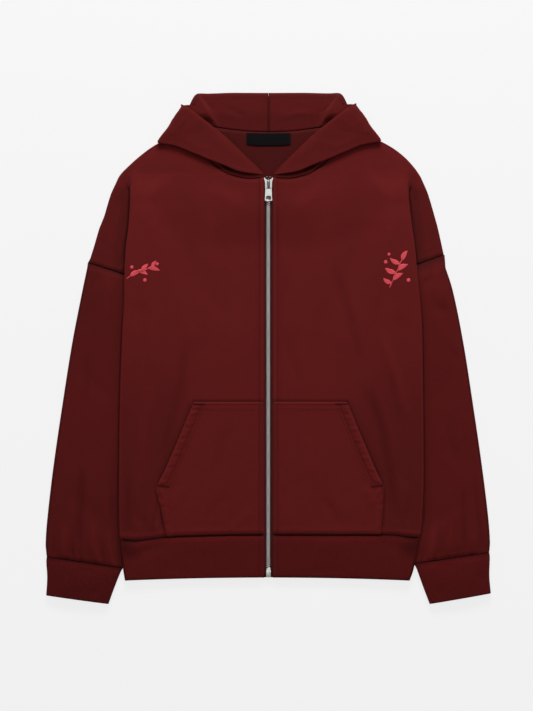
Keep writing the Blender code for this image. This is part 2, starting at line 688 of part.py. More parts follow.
def hood_line(side, index):
    """One station of the hood's cloth, from its seam to its free edge or, at the back, down behind."""
    near = [dict(zip(HOOD["columns"], row)) for row in HOOD["rows"][max(0, index - 1) : index + 2]]
    at = dict(zip(HOOD["columns"], HOOD["rows"][index]))
    rise = at["rise"] if side == "left" else 0.0
    seam, low, roll, edge = (
        Vector((at[f"{name}_x"], at[f"{name}_y"] + rise * share, at[f"{name}_z"]))
        for name, share in (("seam", 0.0), ("low", 0.5), ("roll", 1.0), ("edge", 1.0))
    )
    turn = at["turn"]
    radius = (roll.z - low.z) / 2 * turn
    along_x, along_y = (near[-1][c] - near[0][c] for c in ("roll_x", "roll_y"))
    towards = Vector((-along_y, along_x, 0.0)).normalized()  # square to the roll, away from the neck
    centre = Vector((roll.x, roll.y, roll.z - radius)) - towards * radius
    under = centre - Vector((0.0, 0.0, radius))
    points = [seam, low, mix(mix(low, under, 0.5), under - towards * HOOD_ROLL_RUN, turn)]
    for degrees in (0, 45, 90, 135, 180):
        angle = math.radians(degrees)
        points.append(centre + towards * radius * math.sin(angle) - Vector((0.0, 0.0, radius * math.cos(angle))))
    over = points[-1]
    bulge = Vector((0.0, 0.0, 0.8 * turn))
    points += [mix(over, edge, 0.3) + bulge, mix(over, edge, 0.65) + bulge, edge]
    line = [Vector((p.x, p.y, p.z + lift(p.x, p.y))) for p in points]
    if index <= HOOD_BACK["rows"][-1][0]:
        out = Vector((read(HOOD_BACK, "out_x", index), read(HOOD_BACK, "out_y", index), 0.0))
        top = line[-1]
        depth = top.z * read(HOOD_BACK, "depth", index)
        line += [top + out * reach - Vector((0.0, 0.0, depth * share)) for reach, share in HOOD_DROP]
    else:
        line += [None] * len(HOOD_DROP)
    return [p and (SIDES[side] * p.x, p.y, p.z) for p in line]


def make_hood(side):
    rows = [hood_line(side, n) for n in range(len(HOOD["rows"]))]
    return cloth(f"hood_{side}", rows, FLEECE, BODY_FINISH, offset=0.0)


def fall_ring(inset, z):
    """The outline of the hood's hidden layers, drawn in by an inset, at one height."""
    half_x, half_y = FALL_HALF_WIDTH - FALL_CORNER, (FALL_TOP - FALL_BOTTOM) / 2 - FALL_CORNER
    middle = (FALL_TOP + FALL_BOTTOM) / 2
    ring = []
    for corner_x, corner_y, first in ((1, 1, 0), (-1, 1, 90), (-1, -1, 180), (1, -1, 270)):
        for n in range(6):
            angle = math.radians(first + 18 * n)
            reach = FALL_CORNER - inset
            ring.append((corner_x * half_x + reach * math.cos(angle), middle + corner_y * half_y + reach * math.sin(angle), z))
    return ring


def make_fall():
    """The rest of the hood, folded away behind: one rounded solid with its layers' edges round it."""
    rings = []
    layer = FALL_HEIGHT / FALL_LAYERS
    for n in range(FALL_LAYERS):
        for inset, share in ((1.3, 0.0), (0.3, 0.25), (0.3, 0.75)):
            rings.append(fall_ring(inset, (n + share) * layer))
    rings.append(fall_ring(1.3, FALL_HEIGHT))
    size = len(rings[0])
    points = [p for ring in rings for p in ring]
    faces = []
    for r in range(len(rings) - 1):
        for n in range(size):
            a, b = r * size + n, r * size + (n + 1) % size
            faces.append([a, b, b + size, a + size])
    faces.append(list(reversed(range(size))))
    faces.append([(len(rings) - 1) * size + n for n in range(size)])
    return new_object("hood_fall", points, faces, BODY_FINISH)


# ---------------------------------------------------------------- zip and label


def strip(name, low_x, high_x, ys, below, above, finish):
    """A flat strip along the zip that follows the back's lift: a box for each stretch, in one skin."""
    rings = []
    for y in ys:
        base = lift(0.0, y)
        rings.append([(low_x, y, base + below), (high_x, y, base + below), (high_x, y, base + above), (low_x, y, base + above)])
    points = [p for ring in rings for p in ring]
    faces = [[0, 1, 2, 3]]
    for r in range(len(rings) - 1):
        for n in range(4):
            a, b = 4 * r + n, 4 * r + (n + 1) % 4
            faces.append([a, b, b + 4, a + 4])
    last = 4 * (len(rings) - 1)
    faces.append([last + 3, last + 2, last + 1, last])
    return new_object(name, points, faces, finish)


def box(name, low, high, finish, guide=False):
    """A cube primitive between two corners; a guide is only read by another object's Boolean."""
    bpy.ops.mesh.primitive_cube_add(size=1.0)
    made = bpy.context.active_object
    made.name = made.data.name = name
    size = Vector(high) - Vector(low)
    centre = (Vector(high) + Vector(low)) / 2
    made.data.transform(Matrix.Translation(centre * MM) @ Matrix.Diagonal((*(size * MM), 1.0)))
    made.data.materials.append(finish)
    for old in list(made.users_collection):
        old.objects.unlink(made)
    (GUIDES if guide else PARTS).objects.link(made)
    made.hide_render = guide
    made.display_type = "WIRE" if guide else "TEXTURED"
    return made


def join_guides(target, guides):
    for guide in guides:
        union = target.modifiers.new("join", "BOOLEAN")
        union.operation = "UNION"
        union.object = guide


def make_zip():
    ys = [read(NECK_LOW, "y", 9.0) - 0.6]
    ys += [y for y in FRONT_ROWS if not isinstance(y, str) and HEM_SEAM + 1 < y < NECK_ROW_Y - 6]
    ys.append(ZIP_BOTTOM)
    for side, sign in SIDES.items():
        edges = sorted((sign * TAPE_EDGE, sign * (TAPE_EDGE + TAPE_WIDTH)))
        strip(f"zip_tape_{side}", *edges, ys, TAPE_BELOW, TAPE_BELOW + TAPE_THICK, TAPE_FINISH)
        edges = sorted((sign * SEAM_GAP / 2, sign * TEETH_HALF))
        teeth_ys = [TEETH_START, *ys[2:-1], BOX_TOP + SEAM_GAP]
        strip(f"zip_teeth_{side}", *edges, teeth_ys, TEETH_BELOW, TEETH_TOP, METAL_FINISH)
        edges = sorted((sign * STOP_IN, sign * TEETH_HALF))
        box(
            f"zip_stop_{side}",
            (edges[0], SLIDER_TOP + SEAM_GAP, LIFT + TEETH_BELOW + 0.2),
            (edges[1], SLIDER_TOP + SEAM_GAP + STOP_LONG, LIFT + TEETH_TOP + 0.6),
            METAL_FINISH,
        )
    box("zip_box", (-TEETH_HALF, BOX_BOTTOM, TEETH_BELOW - 0.6), (TEETH_HALF, BOX_TOP, TEETH_TOP + 0.7), METAL_FINISH)


def make_slider():
    """Two plates joined by a wedge at the top, with flanges that the tapes pass between, and a crown for the tab."""
    slider = box(
        "zip_slider",
        (-SLIDER_HALF, SLIDER_BOTTOM, LIFT + PLATE_Z[1][0]),
        (SLIDER_HALF, SLIDER_TOP, LIFT + PLATE_Z[1][1]),
        METAL_FINISH,
    )
    pieces = [
        ("low_plate", -SLIDER_HALF, SLIDER_HALF, SLIDER_BOTTOM, SLIDER_TOP, *PLATE_Z[0]),
        ("wedge", -WEDGE_HALF, WEDGE_HALF, WEDGE_BOTTOM, SLIDER_TOP, PLATE_Z[0][0] + 0.1, PLATE_Z[1][1] - 0.1),
        ("crown_top_leg", -CROWN_HALF, CROWN_HALF, CROWN_Y[1], CROWN_Y[1] + CROWN_BAR, PLATE_Z[1][0] + 0.1, CROWN_TOP),
        ("crown_low_leg", -CROWN_HALF, CROWN_HALF, CROWN_Y[0] - CROWN_BAR, CROWN_Y[0], PLATE_Z[1][0] + 0.1, CROWN_TOP),
        ("crown_bridge", -CROWN_HALF, CROWN_HALF, CROWN_Y[0] - 0.4, CROWN_Y[1] + 0.4, CROWN_UNDER, CROWN_TOP),
    ]
    for side, sign in SIDES.items():
        edges = sorted((sign * (SLIDER_HALF - FLANGE), sign * SLIDER_HALF))
        tape_low, tape_high = TAPE_BELOW - 0.25, TAPE_BELOW + TAPE_THICK + 0.25
        pieces.append((f"flange_up_{side}", *edges, SLIDER_BOTTOM, SLIDER_TOP, PLATE_Z[0][0] + 0.1, tape_low))
        pieces.append((f"flange_down_{side}", *edges, SLIDER_BOTTOM, SLIDER_TOP, tape_high, PLATE_Z[1][1] - 0.1))
    guides = []
    for name, x0, x1, y0, y1, z0, z1 in pieces:
        guides.append(box(f"slider_{name}", (x0, y0, LIFT + z0), (x1, y1, LIFT + z1), METAL_FINISH, guide=True))
    join_guides(slider, guides)


def closed_line(curve, points):
    spline = curve.splines.new("POLY")
    spline.points.add(len(points) - 1)
    for spot, (x, y) in zip(spline.points, points):
        spot.co = (x * MM, y * MM, 0.0, 1.0)
    spline.use_cyclic_u = True


def rounded(low_half, high_half, low, high, corner, count=4):
    """A four-sided outline with round corners, from its half widths at two heights."""
    points = []
    for sign, half, y, first in ((1, high_half, high, 0), (-1, high_half, high, 90), (-1, low_half, low, 180), (1, low_half, low, 270)):
        inward = -1 if y == high else 1
        for n in range(count):
            angle = math.radians(first + 90 * n / (count - 1))
            points.append((sign * (half - corner) + corner * math.cos(angle), y + inward * corner + corner * math.sin(angle)))
    return points


def make_pull_tab():
    curve = bpy.data.curves.new("zip_pull_tab", "CURVE")
    curve.dimensions = "2D"
    curve.fill_mode = "BOTH"
    curve.extrude = TAB_THICK / 2 * MM
    closed_line(curve, rounded(TAB_LOW_HALF, TAB_TOP_HALF, -TAB_LONG, TAB_THICK / 2, 0.6))
    closed_line(curve, rounded(TAB_WINDOW_HALF, TAB_WINDOW_HALF, -TAB_WINDOW, -TAB_THICK / 2, 0.4))
    closed_line(curve, rounded(TAB_HOLE_HALF, TAB_HOLE_HALF, -TAB_LONG + TAB_HOLE[0], -TAB_LONG + TAB_HOLE[1], 0.8))
    tab = bpy.data.objects.new("zip_pull_tab", curve)
    tab.location = Vector((0.0, HINGE_Y, HINGE_Z)) * MM
    curve.materials.append(METAL_FINISH)
    PARTS.objects.link(tab)


def make_label():
    label = box(
        "neck_label",
        (-LABEL_WIDE / 2, LABEL_TOP - LABEL_TALL, LIFT + FLEECE + 0.35),
        (LABEL_WIDE / 2, LABEL_TOP, LIFT + FLEECE + 0.35 + LABEL_THICK),
        LABEL_FINISH,
    )
    bevel = label.modifiers.new("edges", "BEVEL")
    bevel.width = 0.2 * MM


for old in list(bpy.data.objects):
    bpy.data.objects.remove(old, do_unlink=True)
PARTS = bpy.data.collections.new("zip_up_hoodie")
GUIDES = bpy.data.collections.new("guides")
bpy.context.scene.collection.children.link(PARTS)
bpy.context.scene.collection.children.link(GUIDES)

BODY_FINISH = material("fleece", BURGUNDY, 0.9)
RIB_FINISH = material("rib", DARK_RIB, 0.92)
TAPE_FINISH = material("zip_tape", DARK_RIB, 0.85)
METAL_FINISH = material("zip_metal", SILVER, 0.3, 1.0)
LABEL_FINISH = material("label", NIGHT, 0.7)

make_back()
make_hem()
make_fall()
make_zip()
make_slider()
make_pull_tab()
make_label()
for wearer_side in SIDES:
    make_front(wearer_side)
    make_sleeve(wearer_side)
    make_cuff(wearer_side)
    make_pocket(wearer_side)
    make_hood(wearer_side)
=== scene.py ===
"""The finish of a heavy cotton zip-up hoodie, laid flat on its back.

All sizes here are in millimetres and become metres where a mesh is made. X runs towards the wearer's left, Y towards
the hood, Z up from the surface that the hoodie lies on. The zip closes on X = 0. "right" and "left" are the
wearer's: right is the -X side. Tables hold distances from the zip, so both sides read as positive numbers.

Each sewn piece is a thin wall of cloth on a fine grid, on the form of the solid that it stands for, with its own
creases. The threads and the zip's teeth are laid along paths, and the threads' paths are dropped onto the cloth.
"""

import json
import math

import bmesh
import bpy
from mathutils import Matrix, Vector
from mathutils.bvhtree import BVHTree

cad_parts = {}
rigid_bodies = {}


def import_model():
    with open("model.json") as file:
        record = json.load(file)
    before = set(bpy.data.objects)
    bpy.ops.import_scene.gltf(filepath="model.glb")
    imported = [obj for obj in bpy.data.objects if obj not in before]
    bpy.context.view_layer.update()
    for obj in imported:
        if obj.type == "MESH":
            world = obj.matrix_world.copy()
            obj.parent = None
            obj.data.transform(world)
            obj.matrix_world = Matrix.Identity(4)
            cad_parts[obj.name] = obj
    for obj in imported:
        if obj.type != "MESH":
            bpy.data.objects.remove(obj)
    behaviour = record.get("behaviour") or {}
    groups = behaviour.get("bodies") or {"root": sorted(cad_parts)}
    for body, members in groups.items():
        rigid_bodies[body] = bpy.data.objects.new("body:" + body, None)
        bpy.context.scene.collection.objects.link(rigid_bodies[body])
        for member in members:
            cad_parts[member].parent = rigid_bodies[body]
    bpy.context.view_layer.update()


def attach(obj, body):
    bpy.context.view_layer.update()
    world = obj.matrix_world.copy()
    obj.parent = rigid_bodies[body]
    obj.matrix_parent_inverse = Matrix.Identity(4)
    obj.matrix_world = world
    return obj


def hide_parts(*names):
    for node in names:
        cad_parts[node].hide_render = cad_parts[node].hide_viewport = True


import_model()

MM = 0.001
SEAM_GAP = 0.3  # between two pieces that are sewn together
SEAM_TOUCH = 0.03  # where the floor would show through the gap

# Cloth and rib
FLEECE = 2.0
RIB = 2.8
POCKET_CLOTH = 1.8
BODY_HOLLOW = 3.0  # between the back and the fronts where they lie on it
FRONT_TOP = FLEECE + BODY_HOLLOW + FLEECE
CAP_TOP = 5.0  # the front over the shoulder, under its own pleat

# Side rolls of the body
SIDE_SEAM_IN = 2.0  # how far the side seam lies in from the roll's centre
PLEAT_GAP = 1.1  # between a front's pleat and the shoulder under it
SWELL_WIDTH = 95.0  # the front rises to its roll over this width
SEAM_ROLL = 3.2  # radius of the front where it turns down at the shoulder
RIM_GAP = 0.9  # between the back and the front's edge over it, which turns on a tighter curve

# The hood's hidden layers
FALL_HEIGHT = 7.2
FALL_TOP, FALL_BOTTOM = 391.4, 240.0
FALL_HALF_WIDTH = 112.0
FALL_CORNER = 46.0
FALL_LAYERS = 4
LIFT = FALL_HEIGHT + 0.4  # the back's underside over the fall
LIFT_START, LIFT_END = 10.0, 92.0  # from the fall's edge, where the back starts to slope down and reaches the floor

# Zip
TAPE_EDGE, TAPE_WIDTH, TAPE_THICK, TAPE_BELOW = 3.9, 15.0, 0.6, 4.05
TEETH_HALF, TEETH_BELOW, TEETH_TOP = 3.6, 3.4, 5.9
CLOTH_EDGE = 6.5  # the fronts' edges beside the teeth
ZIP_BOTTOM = -351.0
TEETH_START = 254.0  # inside the slider, under its wedge
SLIDER_HALF, SLIDER_TOP, SLIDER_BOTTOM = 5.6, 264.0, 247.8
PLATE_Z = ((2.4, 3.15), (6.15, 7.0))  # the slider's two plates over the lifted back
WEDGE_HALF, WEDGE_BOTTOM, FLANGE = 1.2, 256.0, 0.8
CROWN_HALF, CROWN_BAR, CROWN_UNDER, CROWN_TOP = 2.6, 1.6, 8.9, 10.1
CROWN_Y = (249.6, 259.6)  # inside the crown's legs
HINGE_Y, HINGE_Z = 250.6, LIFT + 7.95
STOP_IN, STOP_LONG = 1.2, 1.6
BOX_TOP, BOX_BOTTOM = -339.6, -353.0
TAB_LONG, TAB_THICK = 22.6, 1.3
TAB_TOP_HALF, TAB_LOW_HALF = 4.9, 5.9
TAB_WINDOW, TAB_WINDOW_HALF = 4.6, 3.1
TAB_HOLE, TAB_HOLE_HALF = (1.7, 7.6), 3.7

# Neck label
LABEL_WIDE, LABEL_TALL, LABEL_THICK, LABEL_TOP = 68.0, 19.6, 0.6, 333.6

# Hem and side rows
HEM_SEAM, HEM_BOTTOM = -288.0, -354.0
ARMHOLE_IN = 226.0
ARMHOLE_IN_Y = {"right": 115.5, "left": 128.5}
ARMHOLE_OUT_Y = {"right": 132.6, "left": 145.0}
ARMHOLE_SLOPE = {"right": 0.33, "left": 0.36}

SIDES = {"right": -1.0, "left": 1.0}

# The body's outline, from the zip: the roll's outer edge below the shoulder, and the shoulder's own edge above.
BODY = {
    "columns": ("y", "right", "left"),
    "rows": (
        (345.0, 205.0, 205.0),
        (262.0, 211.0, 213.5),
        (240.0, 213.4, 216.0),
        (190.0, 216.6, 222.0),
        (160.0, 220.4, 226.2),
        (125.0, 222.6, 229.6),
        (62.0, 224.4, 236.0),
        (29.0, 226.3, 238.0),
        (-68.0, 229.9, 239.4),
        (-183.0, 231.4, 240.2),
        (-240.0, 231.6, 239.2),
        (-280.0, 231.0, 236.4),
        (-292.0, 229.6, 233.6),
    ),
}
SHOULDER = {
    "columns": ("y", "right", "left"),
    "rows": (
        (346.0, 104.0, 104.0),
        (331.0, 143.0, 150.0),
        (316.0, 174.5, 184.0),
        (302.0, 195.0, 205.0),
        (286.0, 213.6, 221.4),
        (269.5, 229.8, 233.8),
        (256.0, 236.8, 240.4),
        (238.5, 244.6, 247.6),
        (201.0, 256.0, 258.6),
        (187.0, 262.0, 262.4),
        (145.0, 274.4, 271.8),
        (132.0, 280.0, 274.8),
    ),
}
# The front neckline beside the zip, and above it up to the shoulder point
NECK_LOW = {
    "columns": ("x", "y"),
    "rows": ((6.5, 266.2), (16.0, 264.0), (29.0, 263.0), (45.0, 265.2), (66.0, 271.8)),
}
NECK_HIGH = {
    "columns": ("y", "x"),
    "rows": ((271.8, 66.0), (283.5, 83.5), (295.0, 91.5), (308.0, 96.5), (322.0, 99.0), (346.0, 99.0)),
}
BACK_NECK_MIDDLE, BACK_NECK_RISE = 334.6, 10.6

# The roll down each side: its underside and radius, how far the pleat reaches back under it, and how much of the
# pleat's height and of its turn there is
ROLL = {
    "columns": ("y", "below", "radius", "depth", "height", "turn"),
    "rows": (
        (345.0, 6.1, 3.2, 2.0, 0.0, 0.0),
        (286.0, 6.1, 3.2, 2.0, 0.0, 0.0),
        (270.0, 6.1, 3.2, 2.0, 0.15, 0.0),
        (260.0, 6.1, 3.2, 2.0, 0.4, 0.0),
        (252.0, 6.1, 3.2, 2.4, 0.7, 0.25),
        (240.0, 6.1, 3.2, 4.5, 1.0, 0.75),
        (228.0, 6.1, 3.2, 9.0, 1.0, 1.0),
        (205.0, 6.1, 3.2, 14.0, 1.0, 1.0),
        (165.0, 6.1, 3.3, 17.0, 1.0, 1.0),
        (128.0, 6.1, 3.4, 14.0, 1.0, 1.0),
        (104.0, 6.0, 3.5, 2.0, 1.0, 1.0),
        (88.0, 5.2, 3.7, 2.0, 1.0, 1.0),
        (50.0, 4.0, 4.0, 2.0, 1.0, 1.0),
        (-200.0, 3.6, 4.0, 2.0, 1.0, 1.0),
        (-287.0, 1.0, 4.0, 2.0, 1.0, 1.0),
        (-300.0, 1.0, 4.0, 2.0, 1.0, 1.0),
    ),
}

# Long soft folds in the fronts: the ends of each one's line, its half width and its height
FRONT_FOLDS = {
    "columns": ("x1", "y1", "x2", "y2", "half", "height"),
    "rows": {
        "right": (
            (188.0, 208.0, 120.0, 20.0, 26.0, 1.1),
            (150.0, 190.0, 74.0, 60.0, 24.0, -0.8),
            (196.0, 60.0, 196.0, -190.0, 15.0, -1.2),
            (210.0, -215.0, 182.0, -276.0, 11.0, 0.8),
        ),
        "left": (
            (196.0, 200.0, 132.0, 10.0, 27.0, 1.1),
            (150.0, 182.0, 90.0, 44.0, 24.0, -0.8),
            (204.0, 40.0, 206.0, -200.0, 15.0, -1.2),
            (214.0, -222.0, 194.0, -275.0, 11.0, 0.7),
        ),
    },
}

# The sleeves' outer and inner edges from armhole to cuff
SLEEVE = {
    "columns": ("down", "out_y", "right", "left", "in_y", "height"),
    "rows": (
        (0.00, 130.0, 280.0, 272.8, 113.0, 6.0),
        (0.10, 90.0, 288.4, 285.6, 72.0, 9.5),
        (0.28, 10.0, 304.0, 301.8, -6.0, 10.0),
        (0.50, -87.0, 319.4, 317.0, -100.0, 10.0),
        (0.72, -185.0, 333.6, 331.2, -196.0, 10.5),
        (0.88, -262.0, 342.6, 340.6, -272.0, 11.5),
        (0.96, -300.0, 345.4, 343.2, -314.0, 11.6),
        (0.985, -311.5, 344.4, 342.6, -327.6, 9.5),
        (1.00, -318.5, 343.6, 342.0, -336.0, 9.5),
    ),
}
CUFF = {
    "columns": ("down", "out_y", "out_x", "in_y", "in_x", "height"),
    "rows": (
        (0.00, -319.2, 342.6, -336.6, 231.6, 9.6),
        (0.12, -326.0, 343.4, -343.0, 234.6, 9.6),
        (0.55, -352.0, 342.4, -366.0, 241.0, 10.4),
        (1.00, -378.4, 344.4, -395.0, 249.4, 9.4),
    ),
}
SLEEVE_FOLDS = {
    "columns": ("down", "across", "slope", "half", "depth"),
    "rows": (
        (0.16, 0.62, 0.5, 0.07, 1.0),
        (0.42, 0.40, -0.35, 0.06, 0.8),
        (0.66, 0.60, 0.4, 0.06, 0.9),
        (0.84, 0.45, -0.4, 0.05, 1.1),
    ),
}

# Pocket outline on the wearer's right, from the zip: the left one differs by POCKET_LEFT_OUT at its outer edges
POCKET = {
    "columns": ("y", "inner", "outer"),
    "rows": (
        (-82.6, 9.5, 115.5),
        (-92.0, 9.5, 119.8),
        (-120.0, 9.5, 131.4),
        (-160.0, 9.5, 148.4),
        (-190.0, 9.5, 161.6),
        (-210.5, 9.5, 172.0),
        (-217.0, 9.5, 174.6),
        (-243.0, 9.5, 167.8),
        (-287.4, 9.5, 158.6),
    ),
}
POCKET_LEFT_OUT = {
    "columns": ("y", "more"),
    "rows": ((-82.6, 6.0), (-210.5, 5.4), (-217.0, 3.8), (-243.0, 10.0), (-287.4, 16.0)),
}

# The hood, station by station from the centre back round to the zip. Each has its seam on the neckline, a point
# low in its cloth, the roll or fold that it turns over, and its free edge, with heights over the lifted back.
# rise is how much higher the station lies on the wearer's left.
HOOD = {
    "columns": (
        "seam_x", "seam_y", "seam_z", "low_x", "low_y", "low_z", "roll_x", "roll_y", "roll_z", "turn",
        "edge_x", "edge_y", "edge_z", "rise",
    ),
    "rows": (
        (0.15, 335.2, 1.0, 0.15, 350.0, 1.1, 0.15, 366.0, 1.6, 0.0, 0.15, 384.0, 2.0, 0.0),
        (26.0, 335.8, 1.0, 26.0, 350.0, 1.1, 26.0, 366.0, 1.6, 0.0, 26.0, 384.0, 2.0, 0.0),
        (52.0, 338.4, 1.0, 53.0, 352.0, 1.1, 54.0, 367.0, 1.6, 0.0, 56.0, 384.0, 2.0, 0.0),
        (76.0, 341.9, 1.0, 80.0, 353.0, 1.1, 86.0, 367.0, 1.6, 0.0, 95.0, 383.0, 2.0, 0.4),
        (81.0, 342.8, 1.0, 87.0, 354.0, 3.6, 93.0, 367.0, 4.4, 0.0, 104.0, 384.0, 3.4, 0.8),
        (93.5, 346.2, 1.4, 101.0, 356.0, 3.8, 109.0, 366.0, 4.2, 0.0, 114.6, 375.0, 4.0, 1.0),
        (98.5, 341.5, 8.6, 119.0, 351.0, 7.4, 141.5, 362.0, 8.8, 0.0, 133.8, 375.4, 8.6, 1.6),
        (98.5, 326.0, 9.2, 128.0, 336.0, 9.0, 157.0, 341.0, 12.2, 1.0, 124.6, 371.0, 12.4, 1.8),
        (97.4, 314.0, 9.2, 132.0, 315.4, 9.0, 173.0, 319.2, 12.2, 1.0, 108.0, 358.6, 12.0, 2.2),
        (94.1, 302.0, 9.2, 117.0, 309.0, 9.0, 146.0, 313.4, 12.2, 1.0, 88.0, 343.8, 10.6, 1.6),
        (87.3, 289.6, 8.8, 98.0, 300.0, 8.8, 116.0, 301.6, 12.2, 1.0, 68.0, 328.0, 9.6, 1.0),
        (76.4, 280.8, 6.8, 80.0, 290.0, 6.6, 94.0, 292.6, 12.2, 0.55, 56.0, 317.0, 9.2, 0.8),
        (66.0, 272.2, 6.4, 67.0, 280.8, 6.4, 70.6, 284.0, 11.8, 0.45, 42.0, 303.4, 8.8, 0.6),
        (45.0, 265.6, 6.2, 43.5, 272.6, 6.4, 43.0, 273.8, 10.4, 0.0, 28.0, 290.0, 8.2, 0.4),
        (29.0, 263.4, 6.0, 27.0, 270.0, 6.2, 26.0, 271.2, 9.4, 0.0, 17.0, 279.6, 7.8, 0.2),
        (16.0, 264.4, 6.0, 15.0, 268.8, 6.2, 14.4, 270.0, 7.8, 0.0, 11.4, 274.2, 7.2, 0.0),
        (8.4, 266.2, 6.0, 8.4, 267.8, 6.2, 8.4, 269.2, 6.8, 0.0, 8.4, 271.4, 6.6, 0.0),
    ),
}
# How far out the hood reaches as its top turns down behind, and what share of its height it goes down by, for the
# stations that do
HOOD_BACK = {
    "columns": ("station", "out_x", "out_y", "depth"),
    "rows": ((0, 0.0, 11.0, 0.91), (3, 0.0, 11.0, 0.91), (4, 6.4, 9.0, 0.91), (5, 8.8, -1.6, 0.9), (6, 0.9, 1.6, 0.3)),
}
HOOD_DROP = ((0.72, 0.08), (0.97, 0.3), (1.0, 0.66), (1.0, 1.0))  # shares of the reach and of the depth
HOOD_ROLL_RUN = 3.2  # how far the cloth runs straight into its roll from below


# ---------------------------------------------------------------- curves and surfaces


def smooth(low, high, value):
    """0 below low, 1 above high, with no corner at either."""
    t = min(1.0, max(0.0, (value - low) / (high - low)))
    return t * t * (3.0 - 2.0 * t)


def mix(a, b, t):
    return a + (b - a) * t


def read(table, column, key):
    """A column of a table at a value of its first column, on a curve through the rows."""
    rows = sorted(table["rows"])
    at = table["columns"].index(column)
    keys = [row[0] for row in rows]
    values = [row[at] for row in rows]
    if key <= keys[0]:
        return values[0]
    if key >= keys[-1]:
        return values[-1]
    i = max(n for n in range(len(keys) - 1) if keys[n] <= key)
    slopes = []
    for n in (i, i + 1):
        before, after = max(0, n - 1), min(len(keys) - 1, n + 1)
        slopes.append((values[after] - values[before]) / (keys[after] - keys[before]))
    span = keys[i + 1] - keys[i]
    t = (key - keys[i]) / span
    return (
        values[i] * (2 * t**3 - 3 * t**2 + 1)
        + values[i + 1] * (3 * t**2 - 2 * t**3)
        + slopes[0] * span * (t**3 - 2 * t**2 + t)
        + slopes[1] * span * (t**3 - t**2)
    )


def steps(low, high, count):
    return [mix(low, high, n / (count - 1)) for n in range(count)]


def outside_fall(x, y):
    """Distance outside the outline of the hood's hidden layers, negative inside."""
    middle = (FALL_TOP + FALL_BOTTOM) / 2
    dx = abs(x) - (FALL_HALF_WIDTH - FALL_CORNER)
    dy = abs(y - middle) - ((FALL_TOP - FALL_BOTTOM) / 2 - FALL_CORNER)
    return math.hypot(max(dx, 0.0), max(dy, 0.0)) + min(max(dx, dy), 0.0) - FALL_CORNER


def lift(x, y):
    """How far the hood's hidden layers raise the back here."""
    return LIFT * (1.0 - smooth(LIFT_START, LIFT_END, outside_fall(x, y)))


def near_line(x, y, x1, y1, x2, y2, half):
    """1 on a line between two points, falling to 0 at half its width and past its ends."""
    length = math.hypot(x2 - x1, y2 - y1)
    along = ((x - x1) * (x2 - x1) + (y - y1) * (y2 - y1)) / length
    beside = abs((x - x1) * (y2 - y1) - (y - y1) * (x2 - x1)) / length
    past = max(0.0, -along, along - length)
    return 1.0 - smooth(0.0, half, math.hypot(beside, past))


def front_folds(side, x, y):
    return sum(row[5] * near_line(x, y, *row[:5]) for row in FRONT_FOLDS["rows"][side])


def front_top(side, x, y):
    """Top of a front at a distance x from the zip, inside its roll."""
    radius = read(ROLL, "radius", y)
    roll_top = mix(FRONT_TOP, read(ROLL, "below", y) + 2 * radius, read(ROLL, "height", y))
    edge = read(BODY, side, y)
    rise = smooth(edge - SWELL_WIDTH, edge - radius, x)
    return lift(x, y) + mix(FRONT_TOP, roll_top, rise) + front_folds(side, x, y)

NECK_ROW_Y = NECK_LOW["rows"][-1][1]
SLANTED_ROWS = {"over armhole": 8.0, "armhole": 0.0}  # heights over the armhole seam, which these rows follow


def armhole_y(side, x):
    """The armhole seam's height at a distance x from the zip."""
    return ARMHOLE_IN_Y[side] + ARMHOLE_SLOPE[side] * (x - ARMHOLE_IN)


def slant(side, y):
    """How much longer a step across the shoulder's outline is along X than square to it."""
    slope = (read(SHOULDER, side, y - 4.0) - read(SHOULDER, side, y + 4.0)) / 8.0
    return math.hypot(1.0, slope)


def shoulder_y(side, x):
    """The shoulder outline read the other way: its height at a distance x from the zip."""
    low, high = 132.0, 346.0
    for _ in range(24):
        middle = (low + high) / 2
        if read(SHOULDER, side, middle) > x:
            low = middle
        else:
            high = middle
    return low


BACK_EDGE_RISE = 26.0


def back_top_y(side, x):
    if x <= BACK_COLUMNS[4]:
        return BACK_NECK_MIDDLE + BACK_NECK_RISE * (x / BACK_COLUMNS[4]) ** 2
    return shoulder_y(side, x)


def side_seam(side, y):
    return read(BODY, side, y) - read(ROLL, "radius", y) - SIDE_SEAM_IN


SLEEVE_RADIUS = 2.9
ARMHOLE_GAP = 0.05
BODY_CLEAR = 0.15


def sleeve_inner_x(side, y):
    """The sleeve's inner edge, tucked under the body's roll, and beside the hem's below it."""
    at_hem = 1.0 - smooth(HEM_SEAM, -262.0, y)
    roll = mix(read(ROLL, "radius", y), HEM_RADIUS, at_hem)
    below = mix(read(ROLL, "below", y), 0.0, at_hem)
    centre = mix(read(BODY, side, y), read(HEM, side, y), at_hem) - roll
    apart = SLEEVE_RADIUS + roll + BODY_CLEAR
    up = below + roll - SLEEVE_RADIUS
    return centre + math.sqrt(max(apart**2 - up**2, 16.0)) - SLEEVE_RADIUS - 0.9 * math.exp(-(((y + 299.0) / 9.0) ** 2))


def sleeve_dent(down):
    def dent(across):
        total = 0.0
        for at, over, slope, half, depth in SLEEVE_FOLDS["rows"]:
            line = at + slope * (across - over) * 0.3
            total -= depth * (1.0 - smooth(0.0, half, abs(down - line))) * (1.0 - smooth(0.15, 0.5, abs(across - over)))
        return total

    return dent


def sleeve_ends(side, down):
    """The plan points of the sleeve's inner and outer edges at a share of its length."""
    out_x, out_y, in_y = (read(SLEEVE, c, down) for c in (side, "out_y", "in_y"))
    in_x = sleeve_inner_x(side, in_y)
    if down == 0.0:
        out_y, in_y = (armhole_y(side, x) - ARMHOLE_GAP for x in (out_x, in_x))
    return (in_x, in_y), (out_x, out_y)


